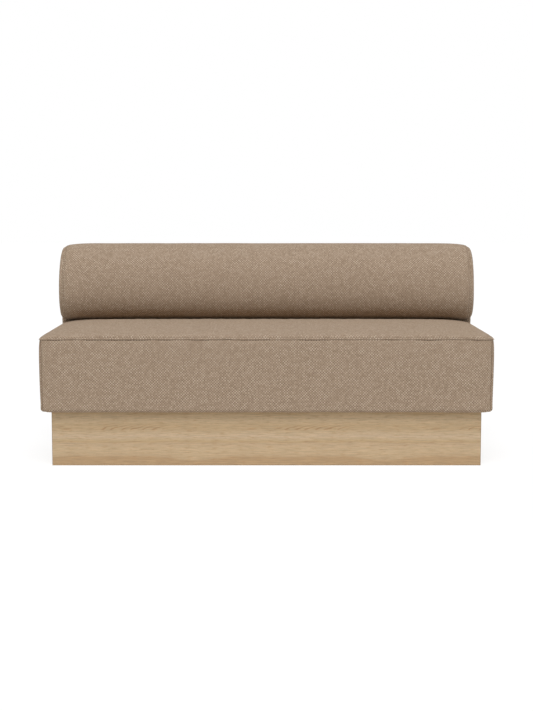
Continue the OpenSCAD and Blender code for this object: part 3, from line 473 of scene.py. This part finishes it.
def blown_up(points, faces, held):
    """Blows up a cloth blank with its seams held still, and returns where its points end up."""
    blank = cloth_object("cloth_blank", points, faces)
    seams = blank.vertex_groups.new(name="seams")
    seams.add(held, 1.0, "REPLACE")
    cloth = blank.modifiers.new("cloth", "CLOTH")
    cloth.settings.quality = 4
    cloth.settings.vertex_group_mass = "seams"
    cloth.settings.use_pressure = True
    cloth.settings.uniform_pressure_force = CLOTH_PRESSURE
    cloth.settings.shrink_min = CLOTH_SHRINK
    cloth.settings.bending_stiffness = CLOTH_BENDING
    cloth.settings.effector_weights.gravity = 0
    cloth.point_cache.frame_start, cloth.point_cache.frame_end = 1, CLOTH_FRAMES
    for number in range(1, CLOTH_FRAMES + 1):
        bpy.context.scene.frame_set(number)
    bpy.ops.object.modifier_apply(modifier="cloth")
    swollen = np.zeros(len(points) * 3)
    blank.data.vertices.foreach_get("co", swollen)
    bpy.data.objects.remove(blank)
    bpy.context.scene.frame_set(1)
    return swollen.reshape(-1, 3) * 1000


def uneven(points, size, amount):
    """A slow unevenness of hand-laid wadding, the same for the same place."""
    flat = points.reshape(-1, 3)
    drift = [noise.noise(Vector(p) / size) for p in flat]
    return np.array(drift).reshape(points.shape[:-1]) * amount


def stuff(panels, patch, amount):
    """Blows cloth panels up over a slightly smaller form, held along their seams, and lays the result on their grids.

    The pressed-out cloth decides how the swell varies along each panel, with its slack and pulls. The profile and the
    size stay those of the form. The wadding's slow unevenness comes on top, with its patches' size and its amount.
    """
    grids, points, faces, held = [], [], [], []
    for panel in panels:
        across, across_back = even(panel.across, CLOTH_STEP)
        down, down_back = even(panel.down, CLOTH_STEP)
        coarse = Panel(np.einsum("ia,adk,jd->ijk", across, panel.points, down), across @ panel.across,
                       down @ panel.down, panel.upward)
        out = coarse.normals()
        near = np.minimum.outer(*[np.minimum(d - d[0], d[-1] - d) for d in (coarse.across, coarse.down)])
        form = puff(near, FORM_EDGE)
        start = coarse.points - out * (form * CLOTH_SWELL)[..., None]
        first = len(points)
        points += list(start.reshape(-1, 3))
        faces += [[first + i * near.shape[1] + j for i, j in corners] for corners in coarse.faces()]
        held += [first + int(i) for i in np.flatnonzero(near < 0.5)]
        grids.append((panel, out, form, start, first, across_back, down_back))
    swollen = blown_up(points, faces, held)
    for panel, out, form, start, first, across_back, down_back in grids:
        if swollen is None:
            moved = form
        else:
            after = swollen[first:first + form.size].reshape(start.shape)
            moved = np.tanh(((after - start) * out).sum(2) / CLOTH_CAP)
            moved /= max(np.percentile(moved, 90), 0.05)
        offset = moved - form
        offset = (offset - np.median(offset, axis=0)) * CLOTH_SWELL
        rows = np.arange(len(form))
        offset = SWELL_LIMIT * np.tanh(offset / SWELL_LIMIT) * puff(np.minimum(rows, rows[::-1]), 1.5)[:, None]
        panel.points += panel.normals() * (across_back @ offset @ down_back.T)[..., None]
        panel.points += panel.normals() * uneven(panel.points, patch, amount)[..., None]


def sew(name, panels):
    """Joins panels at their seams into one cushion, smooth, with the weave's own map in metres on each panel."""
    points, faces, maps = [], [], []
    for panel in panels:
        first = len(points)
        points += list(panel.points.reshape(-1, 3))
        for corners in panel.faces():
            faces.append([first + i * panel.points.shape[1] + j for i, j in corners])
            maps += [tuple(panel.cut[i, j] / 1000) for i, j in corners]
    cushion = cloth_object(name, points, faces)
    layer = cushion.data.uv_layers.new(name="weave")
    layer.data.foreach_set("uv", np.array(maps, np.float32).ravel())
    bpy.ops.object.mode_set(mode="EDIT")
    bpy.ops.mesh.select_all(action="SELECT")
    bpy.ops.mesh.remove_doubles(threshold=0.00004)
    bpy.ops.object.mode_set(mode="OBJECT")
    bpy.ops.object.shade_smooth()
    return cushion


# top panel: the lip's rings run round the front and both sides, and the rear edge is plain
across = stations(2 * SEAT_HALF)
depth = SEAT_REAR - SEAT_FRONT
down_front = stations(2 * depth)
down_front = np.append(down_front[down_front < depth - 9], [depth - 6, depth - 2.5, depth])
nx, ny = len(across), len(down_front)
side_distance = np.minimum(across, across[::-1])
base_x, base_y, under_x, under_y, proud = np.zeros((5, nx, ny))
rings = len(LIP_ROWS)
for i, from_side in enumerate(side_distance):
    for j, from_front in enumerate(down_front):
        side_ring = min(i, nx - 1 - i)
        ring = min(side_ring, j)
        base_x[i, j], base_y[i, j] = lip_place(from_side, ring), lip_place(from_front, ring)
        if ring < rings:
            proud[i, j] = LIP_PROUD[ring] * (0.5 + 0.5 * puff(max(from_side, from_front), LIP_FROM_CORNER))
        else:
            proud[i, j] = BEHIND_LIP * math.exp(-(min(from_side, from_front) - LIP_ROWS[-1]) / LIP_FADE)
        under_x[i, j] = 0 if side_ring < LIP_UNDER else base_x[i, j]
        under_y[i, j] = 0 if j < LIP_UNDER else base_y[i, j]
        if 0 < ring < EAR_ROWS:
            ear = EAR_OUT * math.exp(-(from_side + from_front) / LIP_FADE)
            base_x[i, j] -= ear
            base_y[i, j] -= ear
hand = np.where(np.arange(nx) < nx / 2, -1, 1)[:, None]
top = np.stack([hand * (SEAT_HALF - base_x), SEAT_FRONT + base_y,
                seat_top(hand * (SEAT_HALF - under_x), SEAT_FRONT + under_y)], 2)
seat_top_panel = Panel(top, across, down_front, upward=True)

# borders: rows from the groove under the lip down to the foot, round it, and 40 mm under the frame
fall = np.array([0, 1.3, 2.6, 4.2, 6.5, 9.5, 13, 18, 24, 31, 40, 50, 61, 73, 86, 99, 112, 125, 138, 151, 164, 177, 190,
                 202, 213, 223, 232, 241, 248, 254.5])
arc = np.radians([15, 30, 45, 60, 75, 90])
row_share = np.concatenate([fall / fall[-1], np.ones(len(arc) + 2)])
row_fall = np.concatenate([fall, np.full(len(arc) + 2, fall[-1])])
row_swell = puff(row_fall, BULGE_REACH) * (1 - FOOT_FLATTER * np.clip((row_share - 0.5) * 2, 0, 1) ** 1.5)
row_in = np.concatenate([np.zeros(len(fall)), FOOT_ROUND * (1 - np.cos(arc)), [FOOT_ROUND + 10, TURNED_UNDER]])
row_foot = np.concatenate([np.zeros(len(fall)), FOOT_ROUND * np.sin(arc), [FOOT_ROUND - 0.1, FOOT_ROUND - FOOT_DROP]])
row_length = np.concatenate([fall, fall[-1] + FOOT_ROUND * arc,
                             fall[-1] + FOOT_ROUND * arc[-1] + np.array([14, 27.5])])
row_groove = GROOVE_DEPTH * np.exp(-(row_fall / GROOVE_WIDTH) ** 2)
row_sags = np.append(np.ones(len(row_fall) - 1), 0)
row_open = puff(row_fall, 6)
row_open[len(fall):] *= np.linspace(0.95, 0.5, len(arc) + 2)
front_held = FRONT_DRAWN * row_share ** 2 + row_in
side_held = SIDE_DRAWN * row_share ** 2 + row_in

# the corner seam in plan: both borders dive into it, and the side's edge is rolled round to the front beside it
CORNER = [0, 1, 2, 3, 4, 5, 6, 7, 8, 10, 12, 17.5, 26, 40]
FRONT_CORNER = {"pit": [5.5, 3.2, 1.4, 0.2, 0, 0, 0, 0, 0, 0, 0, 0, 0, 0],
                "full": [0, 0, 0, 0, 0.16, 0.32, 0.44, 0.54, 0.62, 0.74, 0.82, 0.92, 0.98, 1],
                "along": [5.5, 5.5, 5.9, 6.7, 7.6, 8.5, 9.4, 10.2, 11, 12.7, 14.3, 19.3, 27, 40]}
SIDE_CORNER = {"pit": [5.5, 4.9, 4, 2.9, 1.6, 0.4, 0, 0, 0, 0, 0, 0, 0, 0],
               "full": [0, 0, 0, 0, 0, 0, 0.12, 0.31, 0.44, 0.62, 0.75, 0.87, 0.95, 1],
               "along": [5.5, 3.6, 2, 1.2, 1.2, 1.7, 2.5, 3.5, 4.7, 7.5, 10, 16, 25, 40]}


def border(distance, far, seam_height, bulge, corner, held, held_other):
    """A border panel from corner seam inwards: distance along it, inset behind the seam, and height, for every row."""
    near, far = distance[:, None], far[:, None]
    full = np.interp(near, CORNER, corner["full"]) * puff(far, 5)
    groove = row_groove * (GROOVE_AT_CORNER + (1 - GROOVE_AT_CORNER) * puff(near, GROOVE_REACH))
    inset = np.maximum(groove, row_open * np.interp(near, CORNER, corner["pit"])) - bulge * row_swell * full + held
    placed = np.where(near < CORNER[-1], np.interp(near, CORNER, corner["along"]), near)
    along = near + row_open * (placed - near) + held_other * np.maximum(0, 1 - near / TURN_REACH)
    foot_start = SEAT_FOOT - FOOT_DROP + FOOT_ROUND - FOOT_SAG * puff(np.minimum(near, far), LIFT_REACH) * row_sags
    height = seam_height[:, None] - (seam_height[:, None] - foot_start) * row_share - row_foot
    return along, inset, height


along, inset, height = border(side_distance, side_distance + 60,
                              SEAM_HEIGHT + FRONT_LIFT * puff(side_distance, LIFT_REACH),
                              FRONT_BULGE, FRONT_CORNER, front_held, side_held)
front = np.stack([hand * (SEAT_HALF - along), SEAT_FRONT + inset, height], 2)
seat_front_panel = Panel(front, across, row_length)

along, inset, height = border(down_front, depth - down_front, SEAM_HEIGHT + SIDE_LIFT * puff(down_front, LIFT_REACH),
                              SIDE_BULGE, SIDE_CORNER, side_held, front_held)
near_rear = np.maximum(0, 1 - (depth - down_front)[:, None] / TURN_REACH)
along_rear = np.where(row_in > 0, depth - (depth - down_front)[:, None] - row_in * near_rear, along)
rear_blend = np.clip((down_front[:, None] - depth / 2) / 80, 0, 1)
along = along * (1 - rear_blend) + along_rear * rear_blend
sides = {}
for name, sign in (("left", -1), ("right", 1)):
    points = np.stack([sign * (SEAT_HALF - inset), SEAT_FRONT + along, height], 2)
    sides[name] = Panel(points, down_front, row_length)
sides["left"] = Panel(sides["left"].points[::-1], depth - down_front[::-1], row_length)

seat_panels = [seat_top_panel, seat_front_panel, sides["left"], sides["right"]]
stuff(seat_panels, *SEAT_UNEVEN)
seat_top_panel.points += seat_top_panel.normals() * proud[..., None]

# the panels meet on the seam's own line
seam = seat_top_panel.points
seat_front_panel.points[:, 0] = seam[:, 0]
sides["left"].points[:, 0] = seam[0, ::-1]
sides["right"].points[:, 0] = seam[-1]
seat_front_panel.points[0] = sides["left"].points[-1]
seat_front_panel.points[-1] = sides["right"].points[0]
rear_share = ((across - across[0]) / (across[-1] - across[0]))[:, None, None]
rear = sides["right"].points[-1][None] * (1 - rear_share) + sides["left"].points[0][None] * rear_share
rear[:, 0] = seam[::-1, -1]
blend = np.clip(1 - row_length / 60, 0, 1)[None, :]
rear[:, 1:, 2] += (rear[:, :1, 2] - rear[:1, :1, 2]) * blend[:, 1:]
seat_rear_panel = Panel(rear, across, row_length)

seat_cushion = sew("seat_cushion", seat_panels + [seat_rear_panel])

# the cloth: a plain weave of heathered taupe wool and linen yarns, matt and a little fuzzy. The yarns are drawn 5 mm
# apart, two to three times the real ones, so that the render shows them
YARN, YARN_SLACK = 5.0, 0.7
weave = bpy.data.materials.new("heathered_taupe_weave")
tree = new_tree(weave)
place = add_node(tree, "UVMap", uv_map="weave")
in_yarns = add_node(tree, "VectorMath", {0: place, "Scale": 1000 / YARN}, operation="SCALE")
slack = add_node(tree, "TexNoise", {"Vector": place, "Scale": 30, "Detail": 2})
slack_yarns = add_node(tree, "VectorMath", {0: slack.outputs["Color"], "Scale": YARN_SLACK}, operation="SCALE")
laid = add_node(tree, "VectorMath", (in_yarns, slack_yarns), operation="ADD")
in_turns = add_node(tree, "VectorMath", {0: laid, "Scale": math.pi}, operation="SCALE")
axes = add_node(tree, "SeparateXYZ", {0: in_turns})
warp, weft = (add_node(tree, "Math", {0: axes.outputs[axis]}, operation="SINE") for axis in "XY")
over = add_node(tree, "Math", (warp, weft), operation="MULTIPLY")
crossing = add_node(tree, "VectorMath", {0: laid}, operation="FLOOR")
heather = add_node(tree, "TexWhiteNoise", {"Vector": crossing}, noise_dimensions="2D")
flecks = add_node(tree, "TexNoise", {"Vector": place, "Scale": 260, "Detail": 1, "Roughness": 0.6})
clouds = add_node(tree, "TexNoise", {"Vector": place, "Scale": 22, "Detail": 3, "Roughness": 0.6})

# each crossing's contrast varies by itself and in patches, and heather, flecks and clouds are added to its tone
patches = add_node(tree, "MapRange", (clouds, 0.35, 0.65, 0.22, 0.42), interpolation_type="SMOOTHSTEP")
own = add_node(tree, "Math", (heather, 0.9, 0.5), operation="MULTIPLY_ADD")
strength = add_node(tree, "Math", (patches, own), operation="MULTIPLY")
tone = add_node(tree, "Math", (over, strength, 0.5), operation="MULTIPLY_ADD")
for source, amount in ((heather, 0.25), (flecks, 0.48), (clouds, 0.03)):
    centred = add_node(tree, "Math", (source, amount, -amount / 2), operation="MULTIPLY_ADD")
    tone = add_node(tree, "Math", (tone, centred), operation="ADD")
yarns = add_node(tree, "ValToRGB", {0: tone})
set_stops(yarns, [(0.0, "#625040"), (0.3, "#8f7b67"), (0.5, "#a38f7b"), (0.7, "#b4a08c"), (1.0, "#c9b9a6")])
height = add_node(tree, "Math", {0: over}, operation="ABSOLUTE")
relief = add_node(tree, "Bump", {"Height": height, "Strength": 0.35, "Distance": 0.0006})
nap = add_node(tree, "Bump", {"Height": flecks, "Strength": 0.35, "Distance": 0.0008, "Normal": relief})
cloth = add_node(tree, "BsdfPrincipled", {"Base Color": yarns, "Roughness": 0.92, "Specular IOR Level": 0.15,
                                          "Normal": nap, "Sheen Weight": 0.04, "Sheen Roughness": 0.5,
                                          "Sheen Tint": linear("#d9cbb9")})
add_node(tree, "OutputMaterial", {"Surface": cloth})

seat_cushion.data.materials.append(weave)
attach(seat_cushion, "sofa")
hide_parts("seat_cover_top", "seat_cover_front", "seat_cover_left", "seat_cover_right",
            "seat_cover_rear", "seat_foam_core", "seat_topper", "seat_edge_foam_front", "seat_edge_foam_left",
            "seat_edge_foam_right")

# --- Topstitching of the seat: a row of thread stitches along the lip -----------------------------
# Bonded polyester thread, drawn about twice as thick as it is so that it shows. It is coloured well darker than the
# cloth, partly its own colour and partly painted shade, so that the stitches read as the shadows in their needle holes.
# The stitches are 4.8 mm long, one every 7.5 mm, sunk into the cloth 6 mm inside the front and side seams. Each dives
# into its needle holes at both ends.
STITCH_PITCH, STITCH_LENGTH, THREAD = 7.5, 4.8, 1.8
STITCH_BEND, STITCH_DIVE, STITCH_LIFT, THREAD_TWIST = 0.0012, 0.0011, 0.0003, 900

thread, tree, place = new_material("bonded_polyester_thread")
twist = add_node(tree, "TexNoise", {"Vector": place, "Scale": THREAD_TWIST, "Detail": 1})
# the thread's two browns: its own colour, darkened as painted shade for the needle holes' shadows
two_toned(tree, twist, "#5b4b3c", "#74614c", None, {"Roughness": 0.6, "Sheen Weight": 0.1})

bpy.ops.object.select_all(action="DESELECT")
bpy.ops.mesh.primitive_cylinder_add(vertices=6, radius=THREAD / 2000, depth=STITCH_LENGTH / 1000,
                                    rotation=(0, math.pi / 2, 0))
stitch = bpy.context.object
bpy.ops.object.transform_apply()
bpy.ops.object.mode_set(mode="EDIT")
for bend in (-STITCH_BEND, STITCH_BEND):
    bpy.ops.mesh.select_all(action="SELECT")
    bpy.ops.mesh.bisect(plane_co=(bend, 0, 0), plane_no=(1, 0, 0))
bpy.ops.object.mode_set(mode="OBJECT")
for point in stitch.data.vertices:
    if abs(point.co.x) > 1.5 * STITCH_BEND:
        point.co.z -= STITCH_DIVE
        point.co.y *= 0.6


def sewn_row(name, rows, at, step, body):
    """A row of stitches along one row of the cloth's grid, each turned to the line and to the cloth beside it.

    Seen from outside, a step from that row leads to the one on its left."""
    line, left, right = rows[at], rows[at + step], rows[at - step]
    reach = np.concatenate([[0], np.cumsum(np.linalg.norm(np.diff(line, axis=0), axis=1))])
    count = int((reach[-1] - STITCH_PITCH) / STITCH_PITCH)
    marks = STITCH_PITCH + np.arange(count) * (reach[-1] - 2 * STITCH_PITCH) / (count - 1)

    def at_marks(values, shift=0):
        """A row's values at each stitch, or a little way before or after it."""
        return np.stack([np.interp(marks + shift, reach, value) for value in values.T], 1)

    spots, ahead, beside = at_marks(line), at_marks(line, 1) - at_marks(line, -1), at_marks(left - right)
    bpy.ops.object.select_all(action="DESELECT")
    made = []
    for spot, tangent, side in zip(spots, ahead, beside):
        forward = Vector(tangent).normalized()
        up = forward.cross(Vector(side)).normalized()
        copy = stitch.copy()
        copy.data = stitch.data.copy()
        turn = Matrix((forward, up.cross(forward), up)).transposed().to_4x4()
        copy.data.transform(Matrix.Translation(Vector(spot) / 1000 + up * STITCH_LIFT) @ turn)
        bpy.context.collection.objects.link(copy)
        copy.select_set(True)
        made.append(copy)
    bpy.context.view_layer.objects.active = made[0]
    bpy.ops.object.join()
    row = bpy.context.object
    row.name = name
    bpy.ops.object.shade_smooth()
    row.data.materials.clear()
    row.data.materials.append(thread)
    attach(row, body)


lip = seat_top_panel.points
k = STITCH_ROW
last = nx - 1
sewn_row("seat_stitching_front", lip[k:last - k + 1].swapaxes(0, 1), k, 1, "sofa")
sewn_row("seat_stitching_left", lip[:, k:][:, ::-1], k, 1, "sofa")
sewn_row("seat_stitching_right", lip[:, k:], last - k, -1, "sofa")

# --- Back cushion: one cloth wrapped round a foam roll on a slim stem -----------------------------
# A single cloth runs up the stem's front, round the roll and over the top to a seam at the rear. The P-shaped end
# panels are padded and sewn in with a topstitched lip, and a flat rear panel closes it. It leans its roll on the seat.
BACK_HALF, STEM_FRONT, BACK_REAR, STEM_TOP = 810.0, 227.3, 335.0, 495.0
ROLL_MIDDLE, ROLL_UNDER, ROLL_OVER, ROLL_REACH, TOP_REACH = 602.0, 103.5, 184.0, 78.0, 139.7
TOP_CENTRE, REAR_ROUND_LOW, REAR_ROUND, REAR_SEAM = 289.0, 740.0, 46.0, 735.0
ROLL_FILL, FILL_LEAST, FILL_FROM, FILL_OVER, ROLL_EDGE = 12.0, 0.36, 76, 41, 36
STEM_CROWN, END_CROWN, CROWN_RISE, END_EDGE, END_WIDTH = 9.0, 10.8, 60, 5, 150
END_INSIDE, FLARE_SIDE, FLARE_REAR, FLARE_FADE = 3.0, 3.5, 1.2, 8
RESTING_ROWS, REAR_STITCH, STEM_LIP, BEHIND_END_LIP = 13, 8.8, 0.45, 0.4
BACK_UNEVEN = 95, 0.6


def on_ellipse(middle, reach, rise_to, angle, full):
    """A point of an ellipse in side view with its outward direction, and how fully the foam swells the cloth there."""
    out = np.array([-math.cos(angle) / reach, math.sin(angle) / rise_to])
    out /= np.linalg.norm(out)
    return (middle - reach * math.cos(angle), ROLL_MIDDLE + rise_to * math.sin(angle), out[0], out[1], full)


# the outline of the cloth in side view, from the stem's foot up and over to the rear seam, with its outward direction
stem_rows = [(STEM_FRONT, z, -1, 0, 0) for z in (330, 346, 362, 378, 394, 410, 426, 442, 456, 468, 478, 486, 491)]
roll_rows = [(STEM_FRONT, STEM_TOP, -0.7, -0.7, 0)]
for s in np.radians(np.linspace(-85, 0, 18)):
    full = min(1, max(FILL_LEAST, (math.degrees(s) + FILL_FROM) / FILL_OVER))
    roll_rows.append(on_ellipse(STEM_FRONT, ROLL_REACH, ROLL_UNDER, s, full))
seam_levels = [735, 736.2, 737.6, 739.2, 741.4, 743.8, 746.5, 750, 754, 758, 762, 766, 770, 774, 777.5, 780.5, 783,
               784.8, 785.7, 786]
rising = np.append(np.linspace(0, math.asin((REAR_SEAM - ROLL_MIDDLE) / ROLL_OVER), 14)[1:-1],
                   [math.asin((z - ROLL_MIDDLE) / ROLL_OVER) for z in seam_levels])
roll_rows += [on_ellipse(TOP_CENTRE, TOP_REACH, ROLL_OVER, s, 1) for s in rising]
falling = []
for z in seam_levels[-2::-1]:
    up = max(0.0, (z - REAR_ROUND_LOW) / REAR_ROUND)
    out = math.sqrt(1 - up * up)
    falling.append((TOP_CENTRE + REAR_ROUND * out, z, out, up, min(1, 2 * up * up)))
outline = np.array(stem_rows + roll_rows + falling)
apex = len(stem_rows) + len(roll_rows) - 1
outline_length = np.concatenate([[0], np.cumsum(np.linalg.norm(np.diff(outline[:, :2], axis=0), axis=1))])

across = stations(2 * BACK_HALF)
nx = len(across)
side_distance = np.minimum(across, across[::-1])
hand = np.where(np.arange(nx) < nx / 2, -1, 1)
ring_number = np.minimum(np.arange(nx), np.arange(nx)[::-1])
# where each row of the wrapped cloth lies inside its end seam, and how far it stands proud there
END_INSET = [3.0, 3.6, 4.3, 5.2, 6.2, 7.2, 8.2, 9.2, 10.1, 11, 11.9, 13.4]
END_PROUD = [-5.0, -3.2, -1.4, -0.2, 0.4, 0.7, 0.8, 0.5, -0.2, -0.8, -0.2, 0.2]
lip_in = np.array([END_INSET[k] if k < rings else side_distance[i] for i, k in enumerate(ring_number)])
behind_lip = BEHIND_END_LIP * np.exp(-(side_distance - LIP_ROWS[-1]) / LIP_FADE)
lip_out = np.array([END_PROUD[k] if k < rings else behind_lip[i] for i, k in enumerate(ring_number)])
plain_in = np.where(side_distance < SEAM_BLEND, END_INSIDE + side_distance * (SEAM_BLEND - END_INSIDE) / SEAM_BLEND,
                    side_distance)
from_rear_seam = outline_length[-1] - outline_length
lip_fade = np.exp(-(from_rear_seam / 6) ** 2)
rear_lip = np.interp(from_rear_seam, [0, 1.2, 2.6, 4.2, 6.4, REAR_STITCH, 11.5, 15, 22],
                     [-2.2, -0.6, 0.8, 1.2, 1.2, -0.7, 0.4, 0.3, 0])
in_stem = np.arange(len(outline)) <= len(stem_rows)
lip_share = np.where(in_stem, STEM_LIP, 1.0) * (1 - lip_fade)

inward = lip_in[:, None] * (1 - lip_fade) + plain_in[:, None] * lip_fade
stuffing = (ROLL_FILL * puff(side_distance, ROLL_EDGE))[:, None] * outline[:, 4][None]
wrap = np.stack([hand[:, None] * (BACK_HALF - inward), outline[:, 0] + stuffing * outline[:, 2],
                 outline[:, 1] + stuffing * outline[:, 3]], 2)
resting = (np.arange(len(outline)) > len(stem_rows)) & (np.arange(len(outline)) < len(stem_rows) + RESTING_ROWS)
lowest = seat_top(wrap[..., 0], np.minimum(wrap[..., 1], SEAT_REAR)) + 0.5
wrap[..., 2] = np.where(resting[None], np.maximum(wrap[..., 2], lowest), wrap[..., 2])
wrap_panel = Panel(wrap, across, outline_length, upward=True)
well_inside = puff(side_distance, 8)[:, None]
wrap_lip = lip_out[:, None] * lip_share + rear_lip * well_inside - lip_fade * (1 - well_inside)

# rear panel, and the levels that it shares with the end panels. Its first rows are turned under the lining's edge
plain_levels = [213, 220, 230, 245, 262, 280, 298, 315]
low_levels = np.array([187, 196, 200.5, 203.5, 207] + plain_levels)
low_heights = np.array([201.9, 201.7, 202, 204.2, 207.6] + plain_levels)
low_turned = np.array([15, 6, 0.6] + [0] * 10)
low_flare = np.exp(-np.maximum(low_heights - 204, 0) / 6)
lows = len(low_levels)
levels = np.concatenate([low_levels, outline[:apex + 1, 1]])
rear_levels = levels[levels <= REAR_SEAM + 0.01]
rear_heights = np.concatenate([low_heights, rear_levels[lows:]])
turned, flare = (np.pad(low, (0, len(rear_levels) - lows))[None] for low in (low_turned, low_flare))
rear_x = BACK_HALF - plain_in[:, None] + (4 * flare - turned) * np.exp(-side_distance / FLARE_FADE)[:, None]
rear_in = (BACK_REAR - END_INSIDE * np.exp(-(side_distance / 3) ** 2)[:, None] * (1 - flare) + FLARE_REAR * flare
           - turned - 2.2 * np.exp(-((REAR_SEAM - rear_levels) / 2.4) ** 2)[None])
rear = np.stack([-hand[:, None] * rear_x, rear_in, rear_heights + np.zeros(rear_in.shape)], 2)
back_rear_panel = Panel(rear, across, rear_levels, upward=True)

# end panels: front edge on the cloth's end, rear edge on the rear panel's and the cloth's, crowned between them
spread_share = np.array([0, 0.008, 0.02, 0.036, 0.058, 0.085, 0.12, 0.16, 0.21, 0.27, 0.34, 0.42, 0.5])
spread_share = np.concatenate([spread_share, 1 - spread_share[-2::-1]])
end_in = BACK_HALF - END_INSIDE
rising_part, falling_part = outline[:apex + 1], np.array(falling)[-2::-1]
front_edge = np.concatenate([[(STEM_FRONT + 1, z) for z in low_heights], rising_part[:, :2] - rising_part[:, 2:4]])
rear_edge = np.concatenate([[(BACK_REAR - END_INSIDE, z) for z in rear_heights],
                            falling_part[:, :2] - falling_part[:, 2:4], [(TOP_CENTRE, outline[apex, 1] - 1)]])
end_y, end_z = (front_edge + spread_share[:, None, None] * (rear_edge - front_edge)).transpose(2, 0, 1)
edge = np.concatenate([front_edge, rear_edge[::-1]])
from_edge = np.full(end_y.shape, 1e9)
for (y0, z0), (y1, z1) in zip(edge[:-1], edge[1:]):
    length_2 = (y1 - y0) ** 2 + (z1 - z0) ** 2
    if length_2 < 1e-9:
        continue
    t = np.clip(((end_y - y0) * (y1 - y0) + (end_z - z0) * (z1 - z0)) / length_2, 0, 1)
    from_edge = np.minimum(from_edge, np.hypot(end_y - y0 - t * (y1 - y0), end_z - z0 - t * (z1 - z0)))
crown = STEM_CROWN + (END_CROWN - STEM_CROWN) * np.clip((end_z - STEM_TOP + CROWN_RISE) / CROWN_RISE, 0, 1)
end_x = end_in + (crown + END_INSIDE) * puff(from_edge, END_EDGE)
end_x[:, :lows] += FLARE_SIDE * low_flare * np.exp(-from_edge[:, :lows] / FLARE_FADE) - low_turned
end_y[:, :lows] += (((FLARE_REAR + END_INSIDE) * low_flare - low_turned)
                    * np.exp((end_y[:, :lows] - rear_edge[:lows, 0]) / FLARE_FADE))
steps = np.linalg.norm(np.diff(np.stack([end_x, end_y, end_z], 2), axis=0), axis=2)
laid_out = np.concatenate([np.zeros((1, len(levels))), np.cumsum(steps, axis=0)])
laid_out += (end_y - laid_out)[len(spread_share) // 2]
end_width = spread_share * END_WIDTH
ends = {}
for name, sign in (("left", -1), ("right", 1)):
    points = np.stack([sign * end_x, end_y, end_z], 2)
    cut = np.stack([sign * laid_out, end_z], 2)
    if sign < 0:
        points, cut = points[::-1], cut[::-1]
    ends[name] = Panel(points, end_width, levels, upward=True, cut=cut)

back_panels = [wrap_panel, back_rear_panel, ends["left"], ends["right"]]
stuff(back_panels, *BACK_UNEVEN)
wrap_panel.points += np.stack([np.zeros(wrap_lip.shape), outline[:, 2] * wrap_lip, outline[:, 3] * wrap_lip], 2)

# the panels meet on the wrapped cloth's own edges
wrap = wrap_panel.points
back_rear_panel.points[:, -1] = wrap[::-1, -1]
for name, side, row in (("left", -1, 0), ("right", 1, -1)):
    end, other = ends[name].points, -1 - row
    end[other, lows:] = wrap[row, :apex + 1]
    end[other, :lows] = [[side * (end_in + FLARE_SIDE * f - t), STEM_FRONT, z]
                         for z, f, t in zip(low_heights, low_flare, low_turned)]
    end[row, len(rear_levels):] = wrap[row, apex:-1][::-1][:len(levels) - len(rear_levels)]
    end[row, :len(rear_levels)] = back_rear_panel.points[other]
    end[:, -1] = wrap[row, apex]

back_cushion = sew("back_cushion", back_panels)
back_cushion.data.materials.append(weave)
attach(back_cushion, "sofa")
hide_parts("back_cover_front", "back_cover_left", "back_cover_right", "back_cover_rear",
            "back_bolster_foam", "back_lower_foam", "back_rear_wadding", "back_end_pad_left", "back_end_pad_right")

# --- Topstitching of the back: along both end seams and the rear seam -----------------------------
# The same thread and stitch as on the seat, sunk 8 mm inside the end seams of the wrapped cloth, and 9 mm above the
# rear seam.
k = STITCH_ROW
last = nx - 1
end_rows = wrap[:, len(stem_rows) - 2:-4]
rear_row = int(np.argmin(np.abs(from_rear_seam - REAR_STITCH)))
sewn_row("back_stitching_left", end_rows, k, -1, "sofa")
sewn_row("back_stitching_right", end_rows, last - k, -1, "sofa")
sewn_row("back_stitching_rear", wrap[k:last - k + 1].swapaxes(0, 1), rear_row, 1, "sofa")
bpy.data.objects.remove(stitch)
